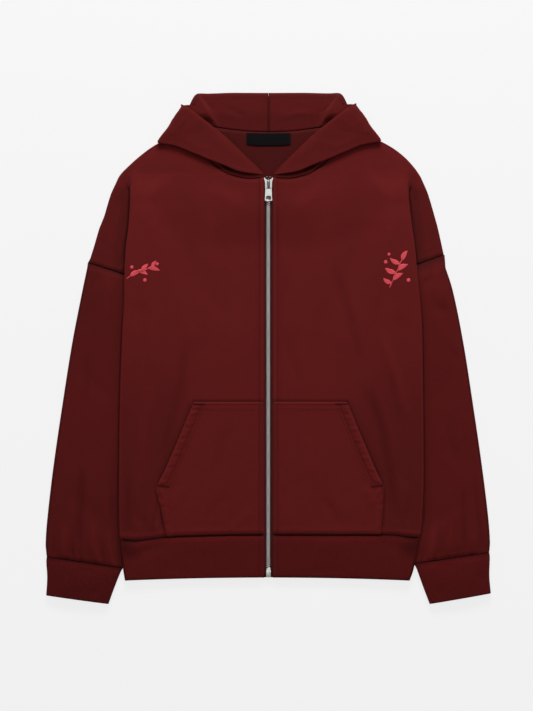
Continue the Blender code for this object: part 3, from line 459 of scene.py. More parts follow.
HEM = {
    "columns": ("y", "right", "left"),
    "rows": (
        (HEM_SEAM, 229.4, 233.8),
        (-297.0, 229.8, 232.4),
        (-325.0, 227.0, 227.6),
        (-342.0, 224.6, 223.4),
        (HEM_BOTTOM, 222.6, 218.8),
    ),
}
HEM_DROP = 2.6  # the band's ends hang this much lower at the sides than at the zip
HEM_RADIUS = 4.4
HEM_ROWS = (HEM_SEAM, -296.0, -322.0, -345.0, HEM_BOTTOM)
HEM_SHARES = (0.0, 0.25, 0.5, 0.72, 0.88, 1.0)
HEM_TOP = 8.0

# ---------------------------------------------------------------- creases and cloth

# Soft creases in each piece: three points of a curved line, its half width, and its height or, below 0, depth
FRONT_CREASES = {
    "right": (
        (207.0, -256.0, 200.0, -268.0, 196.0, -281.0, 6.0, 0.9),
        (193.0, -252.0, 185.0, -268.0, 178.0, -283.0, 6.5, -0.9),
        (180.0, -260.0, 171.0, -272.0, 164.0, -284.0, 5.5, 0.8),
        (128.0, 10.0, 138.0, -74.0, 168.0, -186.0, 13.0, -1.3),
        (106.0, 44.0, 98.0, 16.0, 104.0, -8.0, 15.0, -0.5),
        (182.0, -30.0, 193.0, -130.0, 201.0, -222.0, 20.0, 0.9),
        (217.0, -196.0, 218.0, -246.0, 219.0, -284.0, 7.0, -1.5),
        (168.0, -212.0, 178.0, -240.0, 189.0, -284.0, 5.0, 1.3),
        (171.0, -222.0, 175.0, -246.0, 181.0, -285.0, 3.0, -1.1),
        (170.0, -232.0, 172.0, -252.0, 173.5, -285.0, 4.0, 1.0),
        (167.0, -240.0, 166.0, -258.0, 166.0, -284.0, 2.6, -0.8),
        (200.0, -262.0, 202.0, -272.0, 203.0, -286.0, 6.0, 0.8),
        (58.0, 86.0, 47.0, 40.0, 51.0, 6.0, 20.0, 0.5),
        (86.0, 214.0, 96.0, 170.0, 92.0, 120.0, 26.0, 0.6),
        (38.0, 214.0, 60.0, 232.0, 88.0, 250.0, 17.0, 0.8),
        (24.0, -6.0, 31.0, -36.0, 29.0, -64.0, 9.0, -0.5),
        (150.0, 268.0, 176.0, 250.0, 192.0, 222.0, 15.0, 0.7),
    ),
    "left": (
        (100.0, 130.0, 120.0, 66.0, 146.0, -30.0, 12.0, -1.3),
        (128.0, 52.0, 131.0, 44.0, 134.0, 36.0, 9.0, -0.5),
        (151.0, -60.0, 176.0, -130.0, 201.0, -282.0, 11.0, -1.6),
        (184.0, -28.0, 197.0, -78.0, 205.0, -122.0, 7.0, -0.9),
        (172.0, 26.0, 199.0, -40.0, 218.0, -118.0, 12.0, 1.1),
        (166.0, -52.0, 188.0, -120.0, 199.0, -180.0, 6.0, 0.7),
        (24.0, 30.0, 34.0, -10.0, 54.0, -60.0, 10.0, -0.7),
        (196.0, -262.0, 200.0, -272.0, 201.0, -286.0, 8.0, 0.8),
        (215.0, -262.0, 217.0, -272.0, 218.0, -286.0, 6.0, 0.8),
        (182.0, -236.0, 184.0, -256.0, 183.0, -285.0, 4.0, 0.7),
        (92.0, 206.0, 84.0, 160.0, 76.0, 104.0, 24.0, 0.6),
        (40.0, 214.0, 62.0, 232.0, 90.0, 252.0, 17.0, 0.8),
        (23.0, 126.0, 26.0, 96.0, 22.0, 62.0, 9.0, -0.5),
        (152.0, 268.0, 178.0, 250.0, 196.0, 222.0, 15.0, 0.7),
    ),
}
CAP_CREASES = {
    "right": ((262.0, 176.0, 250.0, 158.0, 244.0, 148.0, 6.0, -0.8), (228.0, 216.0, 232.0, 190.0, 226.0, 168.0, 7.0, 0.7)),
    "left": ((256.0, 190.0, 248.0, 168.0, 246.0, 156.0, 7.0, -0.7), (230.0, 224.0, 236.0, 200.0, 232.0, 176.0, 7.0, 0.6)),
}
POCKET_CREASES = {
    "right": (
        (52.0, -112.0, 74.0, -150.0, 82.0, -196.0, 16.0, -0.6),
        (64.0, -226.0, 80.0, -240.0, 94.0, -262.0, 9.0, -0.7),
        (130.0, -212.0, 142.0, -226.0, 148.0, -246.0, 9.0, 0.7),
        (24.0, -250.0, 40.0, -262.0, 62.0, -282.0, 9.0, 0.5),
        (102.0, -276.0, 104.0, -281.0, 105.0, -287.0, 5.0, 0.5),
    ),
    "left": (
        (58.0, -124.0, 66.0, -160.0, 60.0, -200.0, 18.0, 0.6),
        (84.0, -228.0, 101.0, -254.0, 112.0, -276.0, 9.0, -1.0),
        (146.0, -214.0, 158.0, -226.0, 160.0, -246.0, 10.0, 0.8),
        (20.0, -170.0, 26.0, -206.0, 22.0, -240.0, 10.0, -0.5),
        (128.0, -274.0, 130.0, -280.0, 131.0, -287.0, 5.0, 0.5),
    ),
}
BACK_CREASES = (
    (-120.0, 60.0, -96.0, -40.0, -104.0, -130.0, 30.0, -0.9),
    (96.0, 90.0, 120.0, 0.0, 112.0, -96.0, 32.0, -0.8),
    (-40.0, -60.0, -20.0, -140.0, -34.0, -230.0, 34.0, -0.7),
    (54.0, -120.0, 70.0, -200.0, 60.0, -270.0, 26.0, -0.8),
)
# The sleeves' own creases run along and across them, by shares of the length and of the width from the body
SLEEVE_CREASES = {
    "right": (
        (0.70, 0.58, 0.84, 0.55, 0.98, 0.56, 0.09, -1.9),
        (0.90, 0.76, 0.95, 0.76, 1.0, 0.77, 0.075, 1.7),
        (0.88, 0.36, 0.94, 0.35, 1.0, 0.33, 0.075, 1.8),
        (0.90, 0.12, 0.95, 0.13, 1.0, 0.12, 0.07, 1.7),
        (0.93, 0.24, 0.97, 0.235, 1.0, 0.23, 0.045, -1.2),
        (0.93, 0.64, 0.97, 0.65, 1.0, 0.66, 0.05, -1.1),
        (0.92, 0.90, 0.97, 0.91, 1.0, 0.91, 0.05, -0.9),
        (0.02, 0.42, 0.09, 0.40, 0.17, 0.42, 0.15, 1.0),
        (0.02, 0.72, 0.05, 0.80, 0.12, 0.86, 0.10, -0.8),
        (0.78, 0.10, 0.83, 0.07, 0.88, 0.06, 0.07, -1.1),
        (0.30, 0.72, 0.40, 0.62, 0.52, 0.66, 0.13, -0.7),
    ),
    "left": (
        (0.78, 0.66, 0.88, 0.64, 0.99, 0.66, 0.07, -1.6),
        (0.74, 0.86, 0.86, 0.87, 0.99, 0.90, 0.06, -1.4),
        (0.88, 0.16, 0.94, 0.18, 1.0, 0.17, 0.10, 2.0),
        (0.90, 0.44, 0.95, 0.45, 1.0, 0.46, 0.06, 1.2),
        (0.92, 0.32, 0.96, 0.32, 1.0, 0.31, 0.045, -1.0),
        (0.92, 0.78, 0.96, 0.78, 1.0, 0.78, 0.05, 1.3),
        (0.01, 0.60, 0.03, 0.36, 0.04, 0.10, 0.07, -1.2),
        (0.13, 0.40, 0.15, 0.60, 0.15, 0.84, 0.08, -0.8),
        (0.28, 0.66, 0.31, 0.76, 0.33, 0.90, 0.08, -0.7),
        (0.52, 0.58, 0.60, 0.52, 0.70, 0.56, 0.12, -0.8),
        (0.62, 0.70, 0.63, 0.84, 0.64, 0.96, 0.05, -0.6),
    ),
}


def along_line(x, y, x1, y1, x2, y2):
    """Share along a straight line at the point nearest to x, y, and the distance from it."""
    dx, dy = x2 - x1, y2 - y1
    share = min(1.0, max(0.0, ((x - x1) * dx + (y - y1) * dy) / (dx * dx + dy * dy)))
    return share, math.hypot(x - x1 - dx * share, y - y1 - dy * share)


def creased(x, y, creases, stretch=1.0):
    """The height of a set of creases at a point. `stretch` widens distances along x, for shares of a length."""
    total = 0.0
    for x1, y1, x2, y2, x3, y3, half, height in creases:
        if x < min(x1, x2, x3) - half or x > max(x1, x2, x3) + half or y < min(y1, y2, y3) - half or y > max(y1, y2, y3) + half:
            continue
        first, near = along_line(x * stretch, y, x1 * stretch, y1, x2 * stretch, y2)
        second, far = along_line(x * stretch, y, x2 * stretch, y2, x3 * stretch, y3)
        share = first / 2 if near <= far else 0.5 + second / 2
        distance = min(near, far)
        if distance < half:
            fade = smooth(0.0, 0.3, share + 0.05) * smooth(0.0, 0.3, 1.05 - share)
            total += height * fade * (0.5 + 0.5 * math.cos(math.pi * distance / half))
    return total


def grid_faces(rows):
    """Points and quads of a grid whose rows may have gaps, given as None."""
    points, number, faces = [], {}, []
    for j, row in enumerate(rows):
        for k, point in enumerate(row):
            if point is not None:
                number[j, k] = len(points)
                points.append(point)
    for j in range(len(rows) - 1):
        for k in range(len(rows[j]) - 1):
            corners = ((j, k), (j, k + 1), (j + 1, k + 1), (j + 1, k))
            if all(corner in number for corner in corners):
                faces.append([number[corner] for corner in corners])
    return points, faces, number


def cloth_lengths(rows):
    """Each grid point's place along the cloth, in metres: across by the length of its row, down by the rows' spacing."""
    down, places, last = 0.0, [], None
    for row in rows:
        here = [Vector(p[:3]) if p else None for p in row]
        if last:
            gaps = [(a - b).length for a, b in zip(here, last) if a and b]
            down += sorted(gaps)[len(gaps) // 2] if gaps else 0.0
        across, before = None, None
        places.append([])
        for point in here:
            if point is None:
                places[-1].append(None)
                continue
            across = point.x if across is None else across + (point - before).length
            before = point
            places[-1].append((across * MM, -down * MM))
        last = here
    return places


def new_piece(name, points, faces, finish, places=None, up=None):
    """An object from points in millimetres, joined where they meet. With `up`, its first face looks up or down.

    A point's fourth number is its painted shade, which darkens its colour in seams, creases, folds and under edges,
    or below 0 its painted highlight, which lightens it where it stands out."""
    mesh = bpy.data.meshes.new(name)
    mesh.from_pydata([[c * MM for c in p[:3]] for p in points], [], faces)
    # painted shade per point, and below 0 painted highlight, for the cloth's finish
    painted_shade = mesh.attributes.new("painted_shade", "FLOAT", "POINT")
    painted_shade.data.foreach_set("value", [p[3] if len(p) > 3 else 0.0 for p in points])
    if places:
        laid = mesh.uv_layers.new(name="cloth")
        for loop in mesh.loops:
            laid.data[loop.index].uv = places[loop.vertex_index]
    work = bmesh.new()
    work.from_mesh(mesh)
    bmesh.ops.remove_doubles(work, verts=work.verts, dist=1e-6)
    bmesh.ops.recalc_face_normals(work, faces=work.faces)
    work.faces.ensure_lookup_table()
    if up is not None and (work.faces[0].normal.z > 0) != up:
        bmesh.ops.reverse_faces(work, faces=work.faces)
    work.to_mesh(mesh)
    work.free()
    mesh.materials.append(finish)
    mesh.shade_smooth()
    made = bpy.data.objects.new(name, mesh)
    bpy.context.scene.collection.objects.link(made)
    return made


def cloth(name, rows, thick, finish, up=True, offset=-1.0):
    """A wall of cloth under, over or about a grid of points. `up` says which way its first face looks."""
    points, faces, number = grid_faces(rows)
    laid = cloth_lengths(rows)
    places = [None] * len(points)
    for (j, k), n in number.items():
        places[n] = laid[j][k]
    made = new_piece(name, points, faces, finish, places, up)
    wall = made.modifiers.new("wall", "SOLIDIFY")
    wall.thickness = thick * MM
    wall.offset = offset
    wall.use_quality_normals = True
    return made


def dress(piece, node, body="garment"):
    """The piece stands for a node of the part, which is hidden, and moves with its body."""
    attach(piece, body)
    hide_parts(*([node] if isinstance(node, str) else node))
    return piece


def finish_piece(thing, body="garment"):
    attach(thing, body)
    return thing


# ---------------------------------------------------------------- the body

ROLL_ANGLES = tuple(range(15, 181, 15))
CAP_RUN = tuple(n / 12 for n in range(1, 13))
TURN_DOWN = (15, 30, 45, 60, 75, 90)
CAP_WARP, NECK_WARP = 160.0, 250.0  # rows bend towards the armhole below the first, towards the neckline above the second
EDGE_SEAM = 3.2  # a seam dips the cloth over this width


def seam_dip(distance, depth):
    """The cloth turns down towards a seam, with a low swell beside it."""
    if distance < 0.0 or distance > 5 * EDGE_SEAM:
        return 0.0
    return -depth * math.exp(-((distance / EDGE_SEAM) ** 2)) + 0.35 * depth * math.exp(-(((distance - 2.2 * EDGE_SEAM) / EDGE_SEAM) ** 2))


def puckers(along, pitch, seed):
    """The small uneven gathers beside a line of stitches."""
    return 0.5 * math.sin(2 * math.pi * along / pitch + seed) + 0.32 * math.sin(2 * math.pi * along / (pitch * 1.73) + 2.1 * seed) + 0.2 * math.sin(
        2 * math.pi * along / (pitch * 0.61) + 0.7 * seed
    )


HEM_SAG = {
    "columns": ("x", "right", "left"),
    "rows": ((0.0, 0.0, 0.0), (60.0, 0.3, 0.0), (110.0, 1.6, 0.2), (154.0, 3.4, 0.2), (190.0, 8.2, 0.8), (207.0, 9.6, 2.6), (218.0, 8.4, 3.6), (236.0, 6.4, 4.4)),
}


def hem_sag(side, x):
    """How much lower the hem's seam hangs here than at the zip."""
    return read(HEM_SAG, side, x)


def line_of(distance, half, depth):
    """A line of painted shade along a seam or under an edge: how strong it is at a distance from it."""
    return depth * math.exp(-((distance / half) ** 2))


def front_painted_shade(side, x, y):
    """The front's painted shade in a seam or fold, for its finish, and below 0 its painted highlight."""
    painted_shade = 0.2 * line_of(x - PLACKET, 1.3, 1.0) - 0.06 * line_of(x - 10.0, 2.5, 1.0) + 0.05 * line_of(x - PLACKET - 4.0, 2.0, 1.0)
    painted_shade += 0.75 * line_of(y - HEM_SEAM, 1.5, 1.0) - 0.1 * line_of(y - HEM_SEAM - 8.0, 5.0, 1.0)
    # painted highlight on the upper chest, and painted shade over the low outer front
    painted_shade -= 0.07 * line_of(y - 212.0, 42.0, 1.0) * smooth(20.0, 60.0, x)
    painted_shade += 0.2 * smooth(90.0, 175.0, x) * (1.0 - smooth(-130.0, 60.0, y))
    # painted shade beside the pocket's outer edge and along its top
    if -287.0 < y < -70.0 and x < 195.0:
        beside = x - pocket_outer(side, y) if y < -82.6 else 99.0
        painted_shade += mix(0.26, 0.5, smooth(-213.0, -200.0, y)) * line_of(beside, 2.0, 1.0) + 0.16 * (1.0 - smooth(0.0, 15.0, beside)) * smooth(-213.0, -190.0, y) * smooth(-3.0, 0.0, beside)
        if x < pocket_outer(side, -82.6) + 2.0:
            painted_shade += 0.5 * line_of(y + 81.0, 1.9, 1.0)
    # painted shade along the neckline
    if y > 225.0 and x < 185.0:
        below_neck = (read(NECK_LOW, "y", x) - y) if x < 66.0 else 1e3
        if y > NECK_HIGH["rows"][0][0] and x > 60.0:
            below_neck = min(below_neck, (x - read(NECK_HIGH, "x", y)) * 0.8)
        painted_shade += 0.7 * line_of(below_neck, 2.1, 1.0)
        if 40.0 < x:
            # painted shadow under the hood's flap, and a painted highlight a little below its edge
            over = flap_line(side, x) - y
            painted_shade += 0.66 * (1.0 - smooth(-1.5, mix(3.6, 0.9, smooth(100.0, 150.0, x)), over)) * smooth(40.0, 90.0, x)
            painted_shade -= 0.26 * smooth(0.6, 2.6, over) * (1.0 - smooth(5.0, 12.0, over)) * smooth(90.0, 130.0, x)
    # painted highlight on the creases' ridges and painted shade in their troughs
    return painted_shade - 0.085 * creased(x, y, FRONT_CREASES[side])


def flap_line(side, x):
    """The hood flap's lower edge over the front: its height at a distance from the zip."""
    rise = 1.6 if side == "left" else 0.0
    return read(FLAP_EDGE, "y", x) + rise


# Where the painted shade of the fold down the side starts, at the shoulder's corner, and where the fold is full
SHOULDER_FOLD = {"right": (223.2, 274.2, 213.4, 253.0), "left": (228.6, 277.3, 216.4, 250.5)}


def shoulder_fold_painted_shade(side, x, y):
    """The front's painted shade at the start of the fold down the side."""
    share, off = along_line(x, y, *SHOULDER_FOLD[side])
    return (0.08 * line_of(off, 2.6, 1.0) + 0.12 * (1.0 - smooth(0.0, 15.0, off))) * smooth(0.0, 0.3, share)


FLAP_EDGE = {"columns": ("x", "y"), "rows": ((40.0, 272.0), (70.0, 283.0), (94.0, 291.6), (116.0, 300.6), (146.0, 312.4), (173.0, 318.2), (190.0, 321.0))}


def front_surface(side, x, y):
    """Top of a front at a distance x from the zip, with its creases, seams and the placket's stitched channel."""
    z = front_top(side, x, y) + creased(x, y, FRONT_CREASES[side])
    seed = 1.3 if side == "left" else 0.4
    placket = abs(x - PLACKET)
    z -= 0.45 * math.exp(-((placket / 1.3) ** 2)) * (1.0 + 0.5 * puckers(y, 9.0, seed))
    z += 0.5 * math.exp(-(((x - 10.5) / 3.4) ** 2)) * (1.0 + 0.4 * puckers(y, 13.0, seed))
    z -= 0.9 * (1.0 - smooth(CLOTH_EDGE, CLOTH_EDGE + 1.6, x))
    above_hem = y - HEM_SEAM
    z += seam_dip(above_hem, 1.3) + 0.5 * puckers(x, 16.0, seed) * math.exp(-above_hem / 9.0)
    if x < 99.0 and y > 225.0:
        below_neck = (read(NECK_LOW, "y", x) if x < 66.0 else 1e3) - y
        if y > 262.0 and x > 60.0:
            below_neck = min(below_neck, x - read(NECK_HIGH, "x", y))
        if below_neck < 60.0:
            z += seam_dip(below_neck, 0.8) + 0.22 * puckers(x + y, 12.0, seed) * math.exp(-max(below_neck, 0.0) / 7.0)
    return z


PLACKET = 14.0


def front_row(side, y):
    """One row across a front, from the zip or neckline over the roll and pleat to the shoulder's edge."""
    armhole = ARMHOLE_IN_Y[side]

    def at_y(x):
        if x < ARMHOLE_IN or y > CAP_WARP:
            return y
        return CAP_WARP + (y - CAP_WARP) * (armhole_y(side, x) - CAP_WARP) / (armhole - CAP_WARP)

    def near_neck(x):
        if y <= NECK_WARP:
            return y
        return NECK_WARP + (y - NECK_WARP) * (read(NECK_LOW, "y", x) - NECK_WARP) / (NECK_ROW_Y - NECK_WARP)

    radius, below = read(ROLL, "radius", y), read(ROLL, "below", y)
    depth, height, turn = (read(ROLL, c, y) for c in ("depth", "height", "turn"))
    on_shoulder = y > armhole - 0.01
    rim_y = y if y > CAP_WARP else CAP_WARP + (y - CAP_WARP) * (ARMHOLE_OUT_Y[side] - CAP_WARP) / (armhole - CAP_WARP)
    rim = read(SHOULDER, side, rim_y)
    turn_down = SEAM_ROLL * min(slant(side, y), 2.0)
    cap_end = rim - turn_down
    start = min(read(BODY, side, y) - radius, cap_end - 16.0) if on_shoulder else read(BODY, side, y) - radius

    inner = max(NECK_LOW["rows"][-1][0], read(NECK_HIGH, "x", y))
    row = [None if y > NECK_ROW_Y + 0.01 else (x, near_neck(x)) for x in NEAR_ZIP]
    row += [(mix(inner, start, n / CHEST_COUNT), y) for n in range(CHEST_COUNT + 1)]
    row = [p and (p[0], p[1], front_surface(side, p[0], p[1]), front_painted_shade(side, p[0], p[1])) for p in row]

    # the roll, the pleat under it and the shoulder, as a turned form and as a flat one, mixed by the table
    top = row[-1][2] - front_top(side, start, y)
    # painted shade for each point of the roll: a faint painted highlight on its top, painted shade down its far side
    # and in the pleat under it
    turned, painted_shades = [], []
    for degrees in ROLL_ANGLES:
        angle = math.radians(degrees)
        turned.append((start + radius * math.sin(angle), below + radius * (1.0 + math.cos(angle)) + top * max(0.0, math.cos(angle))))
        painted_shades.append(-0.08 * math.sin(min(2 * angle, math.pi)) + 0.8 * smooth(70.0, 105.0, degrees))
    turned.append((start - depth * 0.5, below))
    turned.append((start - depth, below))
    painted_shades += [0.85, 0.85]
    if on_shoulder:
        cap_top = below - PLEAT_GAP
        turned.append((start - depth - 0.5, below - PLEAT_GAP / 2))
        turned.append((start - depth, cap_top))
        turned += [(mix(start - depth, cap_end, share), cap_top) for share in CAP_RUN]
        painted_shades += [0.9, 0.9] + [0.0] * len(CAP_RUN)
        first_cap = len(turned) - len(CAP_RUN)
        open_edge = start + radius
        for n, (x, z) in enumerate(turned):
            share = (n + 1) / len(turned)
            flat_x = mix(start, cap_end, share)
            flat_z = mix(FRONT_TOP, CAP_TOP + 1.0, share)
            x, z = mix(flat_x, x, turn), mix(flat_z, z, height)
            if n >= first_cap:
                over = at_y(x) - armhole_y(side, x)
                z += (creased(x, at_y(x), CAP_CREASES[side]) + seam_dip(over, 1.0) + 0.25 * puckers(x, 11.0, 1.0) * math.exp(-max(over, 0.0) / 6.0)) * turn
                # painted shade on the shoulder under the fold's edge, beside it and in the armhole's seam
                painted_shades[n] = 0.2 + 0.6 * (1.0 - smooth(0.0, 7.0, x - open_edge)) * (1.0 - smooth(228.0, 258.0, y)) + 0.16 * line_of(x - open_edge - 11.0, 5.0, 1.0)
                painted_shades[n] += 0.6 * line_of(over, 1.9, 1.0)
            row.append((x, at_y(x), z + lift(x, at_y(x)), painted_shades[n] * height * smooth(0.0, 0.6, turn)))
        edge_z = row[-1][2] - lift(rim, y)
        # painted shade growing towards the turn-down's underside
        for degrees in TURN_DOWN:
            angle = math.radians(degrees)
            x = cap_end + turn_down * math.sin(angle)
            z = mix(edge_z, FLEECE + RIM_GAP, 1.0 - math.cos(angle))
            row.append((x, at_y(x), z + lift(x, at_y(x)), mix(0.12, 0.5, degrees / 90) * height))
    else:
        row += [(x, y, z, d) for (x, z), d in zip(turned, painted_shades)]
        row += [None] * (2 + len(CAP_RUN) + len(TURN_DOWN))
    sag = 1.0 - smooth(HEM_SEAM, -200.0, y)
    # painted shade at the start of the fold down the side
    if y > 225.0:
        row = [p and (p[0], p[1], p[2], p[3] + shoulder_fold_painted_shade(side, p[0], p[1])) for p in row]
    return [p and (SIDES[side] * p[0], p[1] - sag * hem_sag(side, p[0]), p[2], p[3]) for p in row]


NEAR_ZIP = (CLOTH_EDGE, 7.4, 8.6, 10.5, 12.2, 13.2, 14.0, 14.8, 15.8, 18.0) + tuple(21.0 + 3.5 * n for n in range(13))
CHEST_COUNT = 42


def spaced(high, low, step):
    count = max(1, round((high - low) / step))
    return [mix(high, low, n / count) for n in range(count + 1)]


def make_front(side):
    armhole = ARMHOLE_IN_Y[side]
    ys = spaced(336.0, NECK_ROW_Y, 3.2) + spaced(NECK_ROW_Y, CAP_WARP, 3.2)[1:] + spaced(CAP_WARP, armhole, 2.6)[1:]
    ys += spaced(armhole - 1.2, -264.0, 4.0) + spaced(-264.0, HEM_SEAM + SEAM_GAP, 1.5)[1:]
    rows = [front_row(side, y) for y in ys]
    return dress(cloth(f"front_{side}_cloth", rows, FLEECE, FLEECE_FINISH), f"front_{side}")


BACK_COLUMNS = (0.0, 28.0, 56.0, 80.0, 98.0, 118.0, 140.0, 162.0, 184.0, 204.0)


def back_half(side):
    """Columns of the back from the middle to one side, as rows from the neck to the hem."""
    seam_x = side_seam(side, 104.0) - SEAM_GAP
    rim = read(SHOULDER, side, ARMHOLE_OUT_Y[side] + 8.0)
    columns = [seam_x * n / 34 for n in range(35)]
    across = columns + [mix(seam_x, rim, n / 8) for n in range(1, 9)]
    rows = []
    for n in range(41):
        row = []
        for x in across:
            y = mix(back_top_y(side, x), armhole_y(side, max(x, seam_x)), n / 40)
            row.append((x, y, lift(x, y)))
        rows.append(row)
    for y in spaced(104.0, HEM_SEAM + SEAM_TOUCH, 6.0):
        edge = side_seam(side, y) - SEAM_GAP
        rise = read(ROLL, "below", y) * smooth(-104.0, -50.0, -y)
        row = []
        for k, x in enumerate(across):
            if k < len(columns):
                x = edge * k / (len(columns) - 1)
                hang = (1.0 - smooth(HEM_SEAM, -200.0, y)) * hem_sag(side, x)
                row.append((x, y - hang, lift(x, y) + rise * smooth(edge - BACK_EDGE_RISE, edge, x)))
            else:
                row.append(None)
        rows.append(row)
    return [[p and (SIDES[side] * p[0], p[1], p[2]) for p in row] for row in rows]


def inside_neck_painted_shade(x, y):
    """Painted shade inside the neck."""
    return 0.5 * smooth(244.0, 262.0, y) * (1.0 - smooth(84.0, 110.0, abs(x)))


def make_back():
    right, left = back_half("right"), back_half("left")
    rows = [list(reversed(a))[:-1] + b for a, b in zip(right, left)]
    ripple = []
    for row in rows:
        line = []
        for p in row:
            if p:
                # the underside stays flat on the surface, and only where it lifts off it does it crease
                free = smooth(1.0, 4.0, lift(abs(p[0]), p[1]))
                p = (p[0], p[1], p[2] + 0.25 * free * puckers(p[0] + 0.6 * p[1], 37.0, 0.8) + max(0.0, -creased(p[0], p[1], BACK_CREASES)) * 0.5, inside_neck_painted_shade(p[0], p[1]))
            line.append(p)
        ripple.append(line)
    return dress(cloth("back_cloth", ripple, FLEECE, FLEECE_FINISH, up=False), "back")


# ---------------------------------------------------------------- sleeves, cuffs and hem


def tube_ring(start, end, height, radius, tops, folds=None, floor=8, rib=None):
    """A flattened ring on the surface between two plan points: its floor, its outer end, its top and its inner end."""
    (x0, y0), (x1, y1) = start, end
    length = math.hypot(x1 - x0, y1 - y0)
    outline = []
    for n in range(floor + 1):
        outline.append((mix(radius, length - radius, n / floor), 0.0, 0.0, -1.0))
    for degrees in range(18, 180, 18):
        angle = math.radians(degrees)
        outline.append((length - radius + radius * math.sin(angle), radius * (1.0 - math.cos(angle)), math.sin(angle), -math.cos(angle)))
    for n in range(tops + 1):
        share = 1.0 - n / tops
        crown = (height - 2 * radius) * math.sin(math.pi * share) ** 0.6
        dent = folds(share) if folds else 0.0
        outline.append((mix(radius, length - radius, share), 2 * radius + crown + dent, 0.0, 1.0))
    for degrees in range(162, 0, -18):
        angle = math.radians(degrees)
        outline.append((radius - radius * math.sin(angle), radius * (1.0 - math.cos(angle)), -math.sin(angle), -math.cos(angle)))
    outline.append(outline[0])
    ring = []
    for k, (along, z, nx, nz) in enumerate(outline):
        if rib:
            push = rib(k, len(outline) - 1)
            along, z = along - push * nx, z - push * nz
        share = along / length
        ring.append((mix(x0, x1, share), mix(y0, y1, share), z))
    return ring


def sleeve_height(side, down, across):
    """The creases on top of a sleeve, at shares of its length and of its width from the body."""
    seed = 0.9 if side == "left" else 2.2
    total = 0.7 * sleeve_dent(down)(across) + creased(down, across, SLEEVE_CREASES[side], stretch=2.6)
    edge = math.sin(math.pi * across) ** 0.5 if 0.0 < across < 1.0 else 0.0
    total += seam_dip((1.0 - down) * 440.0, 1.9) + seam_dip(down * 440.0, 0.9)
    total += edge * 0.6 * puckers(across * 150.0, 15.0, seed) * math.exp(-(1.0 - down) * 440.0 / 11.0)
    total += edge * 0.3 * puckers(across * 150.0, 21.0, seed) * math.exp(-down * 440.0 / 9.0)
    return total * min(1.0, 4.0 * across) * min(1.0, 4.0 * (1.0 - across))


def sleeve_painted_shade(side, down, across):
    """The sleeve's painted shade: in its seams, in the gathers above the cuff and along its edges; below 0, painted
    highlight.
    """
    above, below = (1.0 - down) * 440.0, down * 440.0
    painted_shade = 0.7 * line_of(above, 1.6, 1.0) - 0.1 * line_of(above - 6.0, 3.5, 1.0) + 0.6 * line_of(below, 1.7, 1.0) - 0.12 * line_of(below - 5.0, 2.6, 1.0)
    painted_shade += -0.2 * puckers(across * 150.0, 15.0, 0.9 if side == "left" else 2.2) * math.exp(-above / 14.0) * smooth(0.0, 3.0, above)
    # painted shade along the inner edge, under the body's roll, and along the outer edge
    painted_shade += 0.4 * (1.0 - smooth(0.0, 0.03, across)) * smooth(0.1, 0.2, down) + 0.12 * (1.0 - smooth(0.0, 0.2, across))
    painted_shade += 0.3 * smooth(0.985, 1.0, across)
    # the right sleeve gets more painted shade near its armhole and towards its cuff
    if side == "right":
        painted_shade += 0.12 * (1.0 - smooth(0.1, 0.5, down)) + 0.09 * smooth(0.55, 0.85, down)
    return painted_shade - 0.085 * creased(down, across, SLEEVE_CREASES[side], stretch=2.6)


CUFF_SEAM_HANG = {"right": -3.8, "left": 2.8}
CUFF_SHADE = {"right": 0.14, "left": 0.0}


def cuff_seam_hang(side, x, y):
    """How far the cuff's seam hangs from its straight place, eased away above and below it."""
    seam = -319.2 - 0.157 * (342.6 - x)
    return CUFF_SEAM_HANG[side] * math.exp(-(((y - seam) / 24.0) ** 2))


def make_sleeve(side):
    rows = []
    downs = [n / 84 for n in range(81)] + [0.9600, 0.968, 0.975, 0.982, 0.988, 0.993, 0.997, 1.0]
    for down in downs:
        height = read(SLEEVE, "height", down)
        ring = tube_ring(*sleeve_ends(side, down), height, SLEEVE_RADIUS, 40, lambda share: sleeve_height(side, down, share))
        on_top = range(len(ring) - 51, len(ring) - 10)
        # painted shade of the sleeve's top, and an even painted shade on its sides and underside
        painted_shades = [sleeve_painted_shade(side, down, 1.0 - (k - on_top[0]) / 40) if k in on_top else 0.25 for k in range(len(ring))]
        rows.append([(SIDES[side] * x, y + cuff_seam_hang(side, x, y), z, painted_shade) for (x, y, z), painted_shade in zip(ring, painted_shades)])
    return dress(cloth(f"sleeve_{side}_cloth", rows, FLEECE, SHADED_SLEEVE_FINISH, up=False), f"sleeve_{side}")


CUFF_RADIUS = 3.6
CUFF_GAP = 0.05
RIB_PITCH, RIB_DEEP = 3.4, 0.34
CUFF_CREASES = {
    "right": ((0.16, 0.30, 0.20, 0.42, 0.22, 0.62, 0.12, -0.9), (0.60, 0.16, 0.72, 0.24, 0.86, 0.22, 0.12, -0.8), (0.5, 0.66, 0.7, 0.7, 0.95, 0.68, 0.12, 0.5)),
    "left": ((0.14, 0.24, 0.18, 0.40, 0.22, 0.60, 0.12, -0.8), (0.40, 0.86, 0.52, 0.88, 0.72, 0.92, 0.10, -0.8), (0.62, 0.14, 0.74, 0.2, 0.9, 0.2, 0.12, -0.6)),
}


